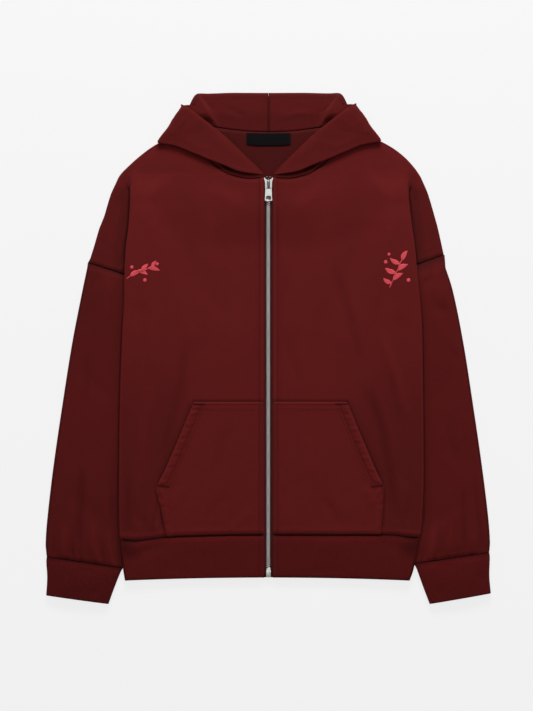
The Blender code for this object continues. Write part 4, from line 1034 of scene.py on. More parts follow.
def make_cuff(side):
    rows = []
    (top_in_x, top_in_y), (top_out_x, top_out_y) = sleeve_ends(side, 1.0)
    first = CUFF["rows"][0]
    width = first[2] - first[4]
    tops, floor = int(width / RIB_PITCH) * 5, int(width / RIB_PITCH) * 3
    per_top, per_floor = 5, 3
    for down in (0.0, 0.02, 0.05, 0.09, 0.14, 0.2, 0.3, 0.4, 0.5, 0.6, 0.7, 0.8, 0.88, 0.93, 0.97, 1.0):
        out_y, out_x, in_y, in_x, height = (read(CUFF, c, down) for c in CUFF["columns"][1:])
        fade = 1.0 - down
        if side == "right":
            out_y, in_x = out_y - 3.2 * down, in_x - 1.8 * down
        start = (in_x + (top_in_x - first[4]) * fade, in_y + (top_in_y - CUFF_GAP - first[3]) * fade)
        end = (out_x + (top_out_x - first[2]) * fade, out_y + (top_out_y - CUFF_GAP - first[1]) * fade)
        seam = -1.2 * math.exp(-((down / 0.06) ** 2))

        def rib(k, count):
            if k <= floor:
                phase = k / per_floor
            elif k <= floor + 9:
                phase = (k - floor) / 3
            elif k <= floor + 9 + tops + 1:
                phase = (k - floor - 10) / per_top
            else:
                phase = (k - floor - tops - 10) / 3
            return RIB_DEEP * (0.5 - 0.5 * math.cos(2 * math.pi * phase)) * smooth(-0.02, 0.1, down) * smooth(-0.01, 0.05, 1.0 - down)

        ring = tube_ring(start, end, height + seam, CUFF_RADIUS, tops, lambda share: creased(down, share, CUFF_CREASES[side]), floor, rib)
        # painted shade under the cuff's seam and at its end, a painted highlight just below the seam, and more painted
        # shade over the whole right cuff
        from_seam = down * 48.0
        painted_shade = CUFF_SHADE[side] + 0.5 * line_of(from_seam, 1.6, 1.0) - 0.14 * line_of(from_seam - 6.5, 3.0, 1.0) + 0.25 * line_of(48.0 - from_seam, 1.6, 1.0)
        rows.append([(SIDES[side] * x, y + cuff_seam_hang(side, x, y), z, painted_shade) for x, y, z in ring])
    return dress(cloth(f"cuff_{side}_rib", rows, RIB, RIB_FINISH, up=False), f"cuff_{side}")

HEM_CREASES = {
    "right": ((150.0, -296.0, 190.0, -306.0, 222.0, -322.0, 15.0, -1.4), (60.0, -300.0, 90.0, -306.0, 130.0, -300.0, 14.0, 0.5), (110.0, -350.0, 140.0, -338.0, 170.0, -342.0, 12.0, -0.5)),
    "left": ((160.0, -298.0, 196.0, -304.0, 218.0, -318.0, 14.0, -1.2), (70.0, -302.0, 100.0, -308.0, 130.0, -300.0, 14.0, 0.5), (60.0, -350.0, 90.0, -340.0, 120.0, -344.0, 12.0, -0.5)),
}


def hem_row(y):
    """One row of the hem's rib, from one edge of the zip round the back to the other."""
    half_rows = []
    for side, sign in SIDES.items():
        start = read(HEM, side, y) - HEM_RADIUS
        ribs = round((read(HEM, side, HEM_SEAM) - HEM_RADIUS - CLOTH_EDGE) / RIB_PITCH)
        half, drop = [], HEM_DROP * smooth(HEM_SEAM, HEM_BOTTOM, y)
        near_end = smooth(HEM_BOTTOM - 0.5, HEM_BOTTOM + 4.0, y) * smooth(-0.4, 5.0, HEM_SEAM - y)
        for n in range(ribs * 5 + 1):
            share = n / (ribs * 5)
            x = mix(CLOTH_EDGE, start, share)
            z = mix(HEM_TOP, 2 * HEM_RADIUS, smooth(0.5, 1.0, share))
            z -= RIB_DEEP * (0.5 - 0.5 * math.cos(2 * math.pi * n / 5)) * near_end * smooth(PLACKET - 1.0, PLACKET + 3.0, x)
            z += creased(x, y, HEM_CREASES[side]) * smooth(start, start - 12.0, x)
            z -= 1.3 * math.exp(-(((HEM_SEAM - y) / 3.0) ** 2)) + 0.7 * math.exp(-(((y - HEM_BOTTOM) / 2.2) ** 2))
            z -= 0.45 * math.exp(-(((x - PLACKET) / 1.3) ** 2)) + 0.9 * (1.0 - smooth(CLOTH_EDGE, CLOTH_EDGE + 1.6, x))
            # painted shade under the hem's seam, beside the placket, towards the band's ends and along its bottom edge,
            # with a painted highlight just below the seam
            painted_shade = 0.7 * line_of(HEM_SEAM - y, 1.6, 1.0) - 0.12 * line_of(HEM_SEAM - y - 6.5, 3.2, 1.0) + 0.1 * line_of(x - PLACKET, 1.5, 1.0)
            painted_shade += 0.45 * (1.0 - smooth(0.0, 34.0, start - x)) * smooth(-326.0, -306.0, y) + 0.25 * line_of(y - HEM_BOTTOM, 2.0, 1.0)
            half.append((x, z, painted_shade))
        # painted shade growing round the band's roll towards its underside
        for n, degrees in enumerate(ROLL_ANGLES):
            angle = math.radians(degrees)
            reach = HEM_RADIUS - RIB_DEEP * (0.5 - 0.5 * math.cos(2 * math.pi * (n + 1) / 4)) * near_end
            half.append((start + reach * math.sin(angle), HEM_RADIUS + reach * math.cos(angle), 0.25 + 0.4 * degrees / 180))
        under = ribs * 3
        half += [(start * (1 - n / under), 0.0 if n % 3 else RIB_DEEP * 0.7 * near_end, 0.0) for n in range(1, under)]
        sag = smooth(HEM_BOTTOM, HEM_SEAM, y)
        half_rows.append([(sign * x, y - (drop + 1.8 * smooth(HEM_SEAM, HEM_BOTTOM, y)) * (x / start) ** 2 - sag * hem_sag(side, x), z, painted_shade) for x, z, painted_shade in half])
    return half_rows


def make_hem():
    ys = (HEM_SEAM, -289.0, -290.5, -292.5, -295.0, -299.0, -304.0, -310.0, -317.0, -324.0, -331.0, -338.0, -344.0, -348.5, -351.0, -352.8, HEM_BOTTOM)
    drawn = [hem_row(y) for y in ys]
    rows = [pair[0] + [(0.0, y, 0.0)] + list(reversed(pair[1])) for y, pair in zip(ys, drawn)]
    return dress(cloth("hem_band_rib", rows, RIB, RIB_FINISH), "hem_band")


POCKET_GAP = 0.6
POCKET_HEM = 13.5  # the opening's hem, between its edge and the twin stitches


def pocket_outer(side, y):
    return read(POCKET, "outer", y) + (read(POCKET_LEFT_OUT, "more", y) if side == "left" else 0.0)


def pocket_surface(side, x, y):
    """Top of a pocket over its front, with its hemmed opening and its stitched edges."""
    top, low_corner = POCKET["rows"][0][0], -213.0
    outer = pocket_outer(side, y)
    seed = 0.6 if side == "left" else 1.9
    z = front_top(side, x, y) + creased(x, y, FRONT_CREASES[side]) * 0.6 + POCKET_GAP + POCKET_CLOTH
    z += creased(x, y, POCKET_CREASES[side])
    slope = 1.08  # the opening runs aslant, so a step across it is shorter than along X
    inside = (outer - x) / slope
    if y > low_corner:
        open_share = smooth(low_corner, low_corner + 8.0, y) * smooth(top + 1.0, top - 8.0, y)
        z += (0.9 * math.exp(-(((inside - 6.5) / 4.6) ** 2)) - 0.55 * math.exp(-(((inside - POCKET_HEM) / 1.6) ** 2))) * open_share
        z += 0.62 * puckers(y * 1.08, 9.6, seed) * math.exp(-(((inside - 7.0) / 5.2) ** 2)) * open_share
        z += 0.35 * math.exp(-(((inside - POCKET_HEM - 5.0) / 3.0) ** 2)) * open_share
    else:
        z += 0.35 * puckers(y, 13.0, seed) * math.exp(-(((inside - 4.0) / 5.0) ** 2)) - 0.5 * math.exp(-(((inside - 2.2) / 1.2) ** 2))
    z += -0.5 * math.exp(-(((top - y - 4.4) / 1.4) ** 2)) + 0.35 * math.exp(-(((top - y - 9.0) / 3.0) ** 2))
    z -= 1.2 * (1.0 - smooth(0.0, 1.6, inside)) + 1.1 * (1.0 - smooth(0.0, 1.6, top - y))
    above_hem = y + 287.4
    z += seam_dip(above_hem, 1.2) + 0.3 * puckers(x, 17.0, seed) * math.exp(-above_hem / 8.0)
    z -= 0.8 * (1.0 - smooth(9.5, 11.5, x)) + 0.35 * math.exp(-(((x - PLACKET) / 1.3) ** 2))
    return z


def pocket_painted_shade(side, x, y):
    """The pocket's painted shade in its seams and gathers, and below 0 its painted highlight."""
    top, low_corner = POCKET["rows"][0][0], -213.0
    inside = (pocket_outer(side, y) - x) / 1.08
    seed = 0.6 if side == "left" else 1.9
    painted_shade = -0.2 * line_of(top - y - 2.4, 1.8, 1.0) + 0.14 * line_of(top - y - 6.0, 1.6, 1.0) + 0.7 * line_of(y + 287.4, 1.5, 1.0) + 0.22 * line_of(x - PLACKET, 1.3, 1.0) - 0.07 * creased(x, y, POCKET_CREASES[side])
    if y > low_corner:
        painted_shade += 0.16 * line_of(inside - POCKET_HEM, 1.3, 1.0) + 0.12 * line_of(inside - POCKET_HEM - 4.0, 1.2, 1.0) - 0.12 * line_of(inside - 2.0, 1.8, 1.0)
        painted_shade += -0.26 * puckers(y * 1.08, 9.6, seed) * line_of(inside - 7.0, 4.6, 1.0)
    else:
        painted_shade += 0.2 * line_of(inside - 0.4, 1.6, 1.0) - 0.1 * line_of(inside - 5.0, 4.0, 1.0)
        painted_shade += -0.16 * puckers(y, 13.0, seed) * line_of(inside - 3.5, 4.5, 1.0) + 0.2 * smooth(0.1, 0.8, puckers(y, 17.0, seed + 1.0)) * line_of(inside - 2.0, 1.6, 1.0)
    # painted shade along a line that runs in from the lower corner, under the bar tack
    share, off = along_line(x, y, pocket_outer(side, low_corner) - 1.0, low_corner + 1.5, pocket_outer(side, low_corner) - 17.0, low_corner - 0.5)
    painted_shade += 0.36 * line_of(off, 1.8, 1.0) * (1.0 - 0.6 * share)
    share, off = along_line(x, y, pocket_outer(side, low_corner) - 3.0, low_corner - 4.0, pocket_outer(side, low_corner) - 10.0, low_corner - 17.0)
    painted_shade += 0.2 * line_of(off, 2.0, 1.0) - 0.12 * line_of(off - 4.0, 2.0, 1.0)
    return painted_shade


def make_pocket(side):
    rows = []
    ys = spaced(-82.6, -98.0, 1.4) + spaced(-98.0, -210.5, 2.4)[1:] + spaced(-210.5, -287.4, 2.0)[1:]
    edge_in = (0.0, 0.8, 1.6, 2.6, 4.0, 5.4, 6.8, 8.4, 10.0, 11.6, 13.0, 14.2, 15.4, 17.0, 19.0)
    for y in ys:
        outer, inner = pocket_outer(side, y), read(POCKET, "inner", y)
        xs = [inner, 10.2, 11.2, 12.6, 13.6, 14.4] + [mix(16.0, outer - 21.5, n / 34) for n in range(35)] + [outer - d for d in reversed(edge_in)]
        sag = 1.0 - smooth(HEM_SEAM, -200.0, y)
        rows.append([(SIDES[side] * x, y - sag * hem_sag(side, x), pocket_surface(side, x, y), pocket_painted_shade(side, x, y)) for x in xs])
    return dress(cloth(f"pocket_{side}_cloth", rows, POCKET_CLOTH, FLEECE_FINISH), f"pocket_{side}")


# ---------------------------------------------------------------- the hood

HOOD_PLACES = [0.0]
for before, after in zip(HOOD["rows"], HOOD["rows"][1:]):
    HOOD_PLACES.append(HOOD_PLACES[-1] + max(6.0, math.hypot(after[6] - before[6], after[7] - before[7]) * 0.5 + math.hypot(after[0] - before[0], after[1] - before[1]) * 0.5))
# Soft creases in the hood, by station and by share of the way from the seam (0) over the roll (0.5) to the edge (1)
HOOD_CREASES = {
    "right": (
        (7.4, 0.90, 7.9, 0.74, 8.4, 0.60, 0.16, 0.7),
        (8.6, 0.86, 9.4, 0.78, 10.2, 0.70, 0.14, -0.6),
        (9.6, 0.92, 10.8, 0.88, 12.0, 0.84, 0.10, 0.6),
        (6.6, 0.72, 7.0, 0.80, 7.3, 0.90, 0.10, -0.5),
        (1.2, 0.30, 1.9, 0.50, 2.6, 0.72, 0.30, -0.7),
        (3.0, 0.40, 3.4, 0.6, 3.6, 0.8, 0.22, 0.6),
    ),
    "left": (
        (7.3, 0.88, 7.8, 0.76, 8.5, 0.62, 0.16, 0.7),
        (8.4, 0.84, 9.2, 0.76, 9.9, 0.72, 0.14, -0.7),
        (10.0, 0.90, 11.0, 0.88, 12.2, 0.84, 0.10, 0.5),
        (6.5, 0.70, 7.0, 0.78, 7.2, 0.92, 0.10, -0.4),
        (0.8, 0.24, 1.5, 0.42, 2.3, 0.46, 0.26, 0.7),
        (2.8, 0.40, 3.2, 0.66, 3.5, 0.84, 0.24, -0.6),
    ),
}


def at_station(column, place):
    """A column of the hood's table on a smooth curve through its stations."""
    at = HOOD["columns"].index(column)
    values = [row[at] for row in HOOD["rows"]]
    last = len(values) - 1
    place = min(max(place, 0.0), float(last))
    i = min(int(place), last - 1)
    slopes = []
    for n in (i, i + 1):
        before, after = max(0, n - 1), min(last, n + 1)
        one = (values[n] - values[before]) / (HOOD_PLACES[n] - HOOD_PLACES[before]) if n > before else None
        two = (values[after] - values[n]) / (HOOD_PLACES[after] - HOOD_PLACES[n]) if after > n else None
        if one is None or two is None:
            slopes.append(one if two is None else two)
        else:
            slopes.append(0.0 if one * two <= 0.0 else 2 * one * two / (one + two))
    span = HOOD_PLACES[i + 1] - HOOD_PLACES[i]
    t = place - i
    return (
        values[i] * (2 * t**3 - 3 * t**2 + 1)
        + values[i + 1] * (3 * t**2 - 2 * t**3)
        + slopes[0] * span * (t**3 - 2 * t**2 + t)
        + slopes[1] * span * (t**3 - t**2)
    )


def curve_through(points, counts):
    """More points on a smooth curve through these ones, `counts` steps on each stretch."""
    made = [points[0]]
    for i in range(len(points) - 1):
        a, b = points[i], points[i + 1]
        before, after = points[max(0, i - 1)], points[min(len(points) - 1, i + 2)]
        here = (b - a).length
        slope_a = (b - before) * (here / max(1e-6, (b - a).length + (a - before).length))
        slope_b = (after - a) * (here / max(1e-6, (after - b).length + (b - a).length))
        for n in range(1, counts[i] + 1):
            t = n / counts[i]
            made.append(a * (2 * t**3 - 3 * t**2 + 1) + b * (3 * t**2 - 2 * t**3) + slope_a * (t**3 - 2 * t**2 + t) + slope_b * (t**3 - t**2))
    return made


def hood_line(side, place):
    """One line of the hood's cloth, from its seam to its free edge or, at the back, down behind."""
    at = {column: at_station(column, place) for column in HOOD["columns"]}
    rise = at["rise"] if side == "left" else 0.0
    seam, low, roll, edge = (
        Vector((at[f"{name}_x"], at[f"{name}_y"] + rise * share, at[f"{name}_z"]))
        for name, share in (("seam", 0.0), ("low", 0.5), ("roll", 1.0), ("edge", 1.0))
    )
    if side == "right":
        narrow = smooth(5.5, 6.3, place) * (1.0 - smooth(8.4, 9.4, place))
        roll.x, edge.x = roll.x - 2.4 * narrow, edge.x - 1.2 * narrow
    turn = at["turn"]
    radius = (roll.z - low.z) / 2 * turn
    whole = round(place)
    near = (max(0, whole - 1), min(len(HOOD["rows"]) - 1, whole + 1)) if abs(place - whole) < 1e-6 else (max(0.0, place - 1.0), min(float(len(HOOD["rows"]) - 1), place + 1.0))
    along_x, along_y = (at_station(c, near[1]) - at_station(c, near[0]) for c in ("roll_x", "roll_y"))
    towards = Vector((-along_y, along_x, 0.0)).normalized()  # square to the roll, away from the neck
    centre = Vector((roll.x, roll.y, roll.z - radius)) - towards * radius
    under = centre - Vector((0.0, 0.0, radius))
    third = mix(mix(low, under, 0.5), under - towards * HOOD_ROLL_RUN, turn)
    arc = []
    for n in range(13):
        angle = math.radians(15 * n)
        arc.append(centre + towards * radius * math.sin(angle) - Vector((0.0, 0.0, radius * math.cos(angle))))
    over = arc[-1]
    bulge = Vector((0.0, 0.0, 0.8 * turn))
    line = curve_through([seam, low, third, arc[0]], (5, 5, 3)) + arc[1:]
    line += curve_through([over, mix(over, edge, 0.3) + bulge, mix(over, edge, 0.65) + bulge, edge], (7, 7, 7))[1:]
    if turn < 0.35:
        # with no roll, the line is one slow curve
        flat_line = curve_through([seam, low, mix(low, over, 0.5), over, mix(over, edge, 0.3), mix(over, edge, 0.65), edge], (5, 8, 12, 7, 7, 7))
        line = [mix(a, b, smooth(0.0, 0.35, turn)) for a, b in zip(flat_line, line)]
    count = len(line)
    made, hood_painted_shades = [], []
    for k, p in enumerate(line):
        share = k / (count - 1)
        folded = creased(place, share, HOOD_CREASES[side])
        flat = 1.0 if share > 0.68 or turn < 0.3 else 0.0
        edge_down = 0.5 * (1.0 - smooth(0.0, 2.0, (edge - p).length)) if place > 5.5 else 0.0
        hem = 0.4 * puckers(HOOD_PLACES[min(int(place), 16)] + 20.0 * (place - int(place)), 31.0, 0.7) * math.exp(-(edge - p).length / 12.0) * turn
        # beside the neck, the fold stands off the cloth behind it
        stand = 4.2 * smooth(3.6, 4.0, place) * (1.0 - smooth(5.0, 5.7, place)) * smooth(6.0, 22.0, (p - seam).length)
        made.append(Vector((p.x, p.y, p.z + lift(p.x, p.y) + folded * flat - edge_down + hem + stand)))
        # each point gets the hood's painted shade
        hood_painted_shades.append(hood_painted_shade(place, share, turn, (edge - p).length, (p - seam).length))
    last = HOOD_BACK["rows"][-1][0]
    if place <= last:
        out = Vector((read(HOOD_BACK, "out_x", place), read(HOOD_BACK, "out_y", place), 0.0))
        top = made[-1]
        depth = top.z * read(HOOD_BACK, "depth", place)
        drop = [top] + [top + out * reach - Vector((0.0, 0.0, depth * share)) for reach, share in HOOD_DROP]
        made += curve_through(drop, (3, 3, 3, 3))[1:]
    else:
        made += [None] * (3 * len(HOOD_DROP))
    # even painted shade on the cloth that turns down behind
    hood_painted_shades += [0.2] * (len(made) - len(hood_painted_shades))
    return [p and (SIDES[side] * p.x, p.y, p.z, painted_shade) for p, painted_shade in zip(made, hood_painted_shades)]


def hood_painted_shade(place, share, turn, from_edge, from_seam):
    """The hood's painted shade by the neck's seam, under its flaps, at its free edge and along its centre seam, with
    painted highlight on its roll and just inside its free edge.
    """
    painted_shade = 0.34 * (1.0 - smooth(0.0, 26.0, from_seam)) * smooth(2.5, 4.6, place) * (1.0 - smooth(4.8, 6.2, place))
    rolled = smooth(5.2, 6.6, place)
    painted_shade += rolled * (0.2 * line_of(from_edge - 0.4, 1.6, 1.0) - 0.12 * line_of(from_edge - 4.0, 2.4, 1.0))
    painted_shade -= 0.14 * rolled * line_of(share - 0.52, 0.05, 1.0)
    painted_shade += 0.95 * smooth(6.0, 7.5, place) * (1.0 - smooth(0.36, 0.47, share)) * smooth(3.0, 7.0, from_seam)
    if place < 3.0:
        painted_shade += 0.16 * (1.0 - smooth(0.2, 0.7, share)) + 0.2 * line_of(place, 0.05, 1.0)
    return painted_shade


HOOD_STEPS = (5, 5, 5, 8, 6, 6, 6, 6, 8, 8, 8, 8, 8, 6, 5, 4)


def make_hood(side):
    rows = []
    for station, count in enumerate(HOOD_STEPS):
        rows += [hood_line(side, station + n / count) for n in range(count)]
    rows.append(hood_line(side, float(len(HOOD_STEPS))))
    return dress(cloth(f"hood_{side}_cloth", rows, FLEECE, SHADED_HOOD_FINISH, offset=0.0), f"hood_{side}")


def fall_ring(inset, z):
    """The outline of the hood's hidden layers, drawn in by an inset, at one height."""
    half_x, half_y = FALL_HALF_WIDTH - FALL_CORNER, (FALL_TOP - FALL_BOTTOM) / 2 - FALL_CORNER
    middle = (FALL_TOP + FALL_BOTTOM) / 2
    ring = []
    for corner_x, corner_y, first in ((1, 1, 0), (-1, 1, 90), (-1, -1, 180), (1, -1, 270)):
        for n in range(13):
            angle = math.radians(first + 7.5 * n)
            reach = FALL_CORNER - inset + 0.5 * puckers(9.0 * (first / 90 * 12 + n), 50.0, z)
            ring.append((corner_x * half_x + reach * math.cos(angle), middle + corner_y * half_y + reach * math.sin(angle), z))
    return ring


def make_fall():
    """The rest of the hood, folded away behind: its layers' rounded edges one over another."""
    rings = []
    layer = FALL_HEIGHT / FALL_LAYERS
    for n in range(FALL_LAYERS):
        for inset, share in ((1.5, 0.0), (0.7, 0.08), (0.2, 0.3), (0.2, 0.7), (0.7, 0.92)):
            rings.append(fall_ring(inset, (n + share) * layer))
    rings.append(fall_ring(1.5, FALL_HEIGHT))
    for inset in (8.0, 20.0, 36.0):
        rings.append(fall_ring(inset, FALL_HEIGHT))
        rings.insert(0, fall_ring(inset, 0.0))
    size = len(rings[0])
    points = [p for ring in rings for p in ring]
    faces = []
    for r in range(len(rings) - 1):
        for n in range(size):
            a, b = r * size + n, r * size + (n + 1) % size
            faces.append([a, b, b + size, a + size])
    faces.append(list(reversed(range(size))))
    faces.append([(len(rings) - 1) * size + n for n in range(size)])
    places = [((p[0] + p[2]) * MM, (p[1] + p[2]) * MM) for p in points]
    return dress(new_piece("hood_fall_cloth", points, faces, SHADED_HOOD_FINISH, places), "hood_fall")


# ---------------------------------------------------------------- zip and label


def make_tape(side):
    """The woven tape beside the teeth, with its thicker inner edge, the cord that the teeth grip."""
    sign = SIDES[side]
    across = (2.9, 3.1, 3.5, 3.9, 4.3, 4.8, 5.6, 7.0, 11.0, 15.0, 18.9)
    rows = []
    for y in spaced(read(NECK_LOW, "y", 9.0) - 0.6, ZIP_BOTTOM, 5.0):
        base = lift(0.0, y) + TAPE_BELOW + TAPE_THICK
        rows.append([(sign * x, y, base + 0.55 * math.exp(-(((x - 3.6) / 0.7) ** 2))) for x in across])
    return dress(cloth(f"zip_tape_{side}_weave", rows, TAPE_THICK, TAPE_FINISH), f"zip_tape_{side}")


def outline_plate(name, outline, low, high, finish, holes=(), edge=0.25):
    """A flat plate from a closed outline in plan, between two heights, with rounded edges."""
    curve = bpy.data.curves.new(name, "CURVE")
    curve.dimensions = "2D"
    curve.fill_mode = "BOTH"
    curve.extrude = ((high - low) / 2 - edge) * MM
    curve.bevel_depth = edge * MM
    curve.bevel_resolution = 2
    curve.offset = -edge * MM
    for line in (outline, *holes):
        spline = curve.splines.new("POLY")
        spline.points.add(len(line) - 1)
        for spot, (x, y) in zip(spline.points, line):
            spot.co = (x * MM, y * MM, 0.0, 1.0)
        spline.use_cyclic_u = True
    drawn = bpy.data.objects.new(name, curve)
    bpy.context.scene.collection.objects.link(drawn)
    mesh = bpy.data.meshes.new_from_object(drawn.evaluated_get(bpy.context.evaluated_depsgraph_get()))
    bpy.data.objects.remove(drawn)
    bpy.data.curves.remove(curve)
    mesh.transform(Matrix.Translation((0.0, 0.0, (low + high) / 2 * MM)))
    return tidy_metal(name, mesh, finish)


def tidy_metal(name, mesh, finish):
    work = bmesh.new()
    work.from_mesh(mesh)
    bmesh.ops.remove_doubles(work, verts=work.verts, dist=2e-6)
    bmesh.ops.recalc_face_normals(work, faces=work.faces)
    work.to_mesh(mesh)
    work.free()
    mesh.materials.clear()
    mesh.materials.append(finish)
    mesh.name = name
    mesh.shade_smooth()
    mesh.set_sharp_from_angle(angle=math.radians(40))
    made = bpy.data.objects.new(name, mesh)
    bpy.context.scene.collection.objects.link(made)
    return made


def rounded(low_half, high_half, low, high, corner, count=6):
    """A four-sided outline with round corners, from its half widths at two heights."""
    points = []
    for sign, half, y, first in ((1, high_half, high, 0), (-1, high_half, high, 90), (-1, low_half, low, 180), (1, low_half, low, 270)):
        inward = -1 if y == high else 1
        for n in range(count):
            angle = math.radians(first + 90 * n / (count - 1))
            points.append((sign * (half - corner) + corner * math.cos(angle), y + inward * corner + corner * math.sin(angle)))
    return points


def rounded_block(name, low, high, finish, edge=0.3, segments=3):
    mesh = bpy.data.meshes.new(name)
    work = bmesh.new()
    bmesh.ops.create_cube(work, size=1.0)
    size, centre = Vector(high) - Vector(low), (Vector(high) + Vector(low)) / 2
    work.transform(Matrix.Translation(centre * MM) @ Matrix.Diagonal((*(size * MM), 1.0)))
    bmesh.ops.bevel(work, geom=work.edges[:], offset=edge * MM, segments=segments, profile=0.5, affect="EDGES", clamp_overlap=True)
    work.to_mesh(mesh)
    work.free()
    return tidy_metal(name, mesh, finish)


def joined(name, things):
    """Several pieces as one."""
    mesh, work = bpy.data.meshes.new(name), bmesh.new()
    finishes = []
    for thing in things:
        finish = thing.data.materials[0]
        if finish not in finishes:
            finishes.append(finish)
        thing.data.polygons.foreach_set("material_index", [finishes.index(finish)] * len(thing.data.polygons))
        work.from_mesh(thing.data)
        bpy.data.objects.remove(thing)
    work.to_mesh(mesh)
    work.free()
    for finish in finishes:
        mesh.materials.append(finish)
    made = bpy.data.objects.new(name, mesh)
    bpy.context.scene.collection.objects.link(made)
    return made


def slider_outline(grow=0.0):
    """Half of the slider's plate is wide where the two tapes go in, and narrows to where the closed chain comes out."""
    half = ((7.1, 263.2), (6.9, 261.5), (6.2, 259.5), (5.7, 257.4), (5.45, 253.6), (5.4, 250.8), (5.3, 248.8), (4.7, 248.0), (3.0, 247.8))
    top = ((6.5, 263.9), (5.4, 263.8), (4.6, 262.6), (3.4, 261.2), (1.6, 260.8), (0.6, 260.7))
    right = [(x + grow, y) for x, y in (*reversed(top), *half)]
    return right + [(-x, y) for x, y in reversed(right)]


def make_slider():
    z = LIFT
    pieces = [
        outline_plate("slider_top_plate", slider_outline(), z + PLATE_Z[1][0], z + PLATE_Z[1][1], METAL_FINISH, (rounded(1.9, 2.3, 249.4, 258.6, 0.6),), edge=0.28),
        outline_plate("slider_low_plate", slider_outline(-0.3), z + PLATE_Z[0][0], z + PLATE_Z[0][1], METAL_FINISH, edge=0.2),
        rounded_block("slider_wedge", (-WEDGE_HALF, WEDGE_BOTTOM, z + 2.6), (WEDGE_HALF, SLIDER_TOP - 1.4, z + 6.3), SHADED_METAL_FINISH, edge=0.3),
    ]
    for sign in (1, -1):
        edges = sorted((sign * (SLIDER_HALF - FLANGE), sign * SLIDER_HALF))
        pieces.append(rounded_block("slider_flange_low", (edges[0], SLIDER_BOTTOM + 0.6, z + 2.6), (edges[1], 257.0, z + TAPE_BELOW - 0.25), METAL_FINISH, edge=0.15))
        pieces.append(rounded_block("slider_flange_top", (edges[0], SLIDER_BOTTOM + 0.6, z + TAPE_BELOW + TAPE_THICK + 0.6), (edges[1], 257.0, z + 6.6), METAL_FINISH, edge=0.15))
    # the crown is a bowed strap that the tab's bar turns in
    rows, half = [], CROWN_HALF - 0.5
    path = []
    for n in range(19):
        share = n / 18
        y = mix(CROWN_Y[0] - CROWN_BAR * 0.6, CROWN_Y[1] + CROWN_BAR * 0.6, share)
        rise = (1.0 - abs(2 * share - 1.0) ** 5.0)
        path.append((y, mix(PLATE_Z[1][1] - 0.5, (CROWN_UNDER + CROWN_TOP) / 2, rise)))
    for k, (y, height) in enumerate(path):
        before, after = path[max(0, k - 1)], path[min(len(path) - 1, k + 1)]
        turn = Vector((after[0] - before[0], after[1] - before[1])).normalized()
        normal = (-turn.y, turn.x)
        ring = []
        for a in range(16):
            angle = 2 * math.pi * a / 16
            wide = half * math.copysign(abs(math.cos(angle)) ** 0.45, math.cos(angle))
            thick = 0.6 * math.copysign(abs(math.sin(angle)) ** 0.6, math.sin(angle))
            ring.append((wide, y + normal[0] * thick, z + height + normal[1] * thick))
        rows.append(ring)
    points = [p for ring in rows for p in ring]
    faces = [[r * 16 + a, r * 16 + (a + 1) % 16, (r + 1) * 16 + (a + 1) % 16, (r + 1) * 16 + a] for r in range(len(rows) - 1) for a in range(16)]
    faces += [list(range(16)), [(len(rows) - 1) * 16 + a for a in reversed(range(16))]]
    pieces.append(new_piece("slider_crown", points, faces, SHADED_METAL_FINISH))
    return dress(joined("zip_slider_body", pieces), "zip_slider")


def make_pull_tab():
    window = rounded(TAB_WINDOW_HALF, TAB_WINDOW_HALF, HINGE_Y - TAB_WINDOW, HINGE_Y - TAB_THICK / 2, 0.7)
    hole = rounded(TAB_HOLE_HALF, TAB_HOLE_HALF - 0.3, HINGE_Y - TAB_LONG + TAB_HOLE[0], HINGE_Y - TAB_LONG + TAB_HOLE[1], 1.2)
    outline = rounded(TAB_LOW_HALF, TAB_TOP_HALF, HINGE_Y - TAB_LONG, HINGE_Y + TAB_THICK / 2, 1.1)
    tab = outline_plate("zip_pull_tab_plate", outline, HINGE_Z - TAB_THICK / 2, HINGE_Z + TAB_THICK / 2, METAL_FINISH, (window, hole), edge=0.3)
    return dress(tab, "zip_pull_tab", "pull_tab")


def make_stops():
    for side, sign in SIDES.items():
        edges = sorted((sign * STOP_IN, sign * TEETH_HALF))
        low, high = (edges[0], SLIDER_TOP + SEAM_GAP, LIFT + TEETH_BELOW + 0.2), (edges[1], SLIDER_TOP + SEAM_GAP + STOP_LONG, LIFT + TEETH_TOP + 0.6)
        dress(rounded_block(f"zip_stop_{side}_clip", low, high, SHADED_METAL_FINISH, 0.35), f"zip_stop_{side}")
    body = rounded_block("box_body", (-TEETH_HALF, BOX_BOTTOM, TEETH_BELOW - 0.6), (TEETH_HALF, BOX_TOP - 3.6, TEETH_TOP + 0.7), METAL_FINISH, 0.45)
    neck = rounded_block("box_neck", (-TEETH_HALF + 0.5, BOX_TOP - 4.2, TEETH_BELOW - 0.3), (TEETH_HALF - 0.5, BOX_TOP, TEETH_TOP + 0.4), METAL_FINISH, 0.4)
    pin = rounded_block("box_pin", (0.9, BOX_TOP - 9.6, TEETH_TOP + 0.3), (2.4, BOX_TOP - 0.6, TEETH_TOP + 1.0), METAL_FINISH, 0.3)
    dress(joined("zip_box_body", [body, neck, pin]), "zip_box")


def make_label():
    """A woven label with its two ends folded under, sewn to the neck along its ends, and bowed a little."""
    rows = []
    base = LIFT + FLEECE + 0.35 + LABEL_THICK
    for n in range(15):
        down = n / 14
        row = []
        for k in range(57):
            across = k / 28 - 1.0
            sag = 1.8 * (1.0 - across * across)
            y = LABEL_TOP - (LABEL_TALL - 1.0) * down - sag * (0.3 + 0.7 * down)
            z = base + 0.35 * (1.0 - across**4) * math.sin(math.pi * down) ** 0.7 - 0.28 * math.exp(-(((1.0 - abs(across)) * 34.0 - 2.2) / 0.7) ** 2)
            z += 0.1 * puckers(across * 34.0, 23.0, 0.4) * down
            row.append((across * LABEL_WIDE / 2, y, z))
        rows.append(row)
    return dress(cloth("neck_label_weave", rows, LABEL_THICK * 0.7, LABEL_FINISH), "neck_label")


# ---------------------------------------------------------------- what repeats along a path


def tree_node(tree, kind, **settings):
    node = tree.nodes.new(kind)
    for name, value in settings.items():
        setattr(node, name, value)
    return node


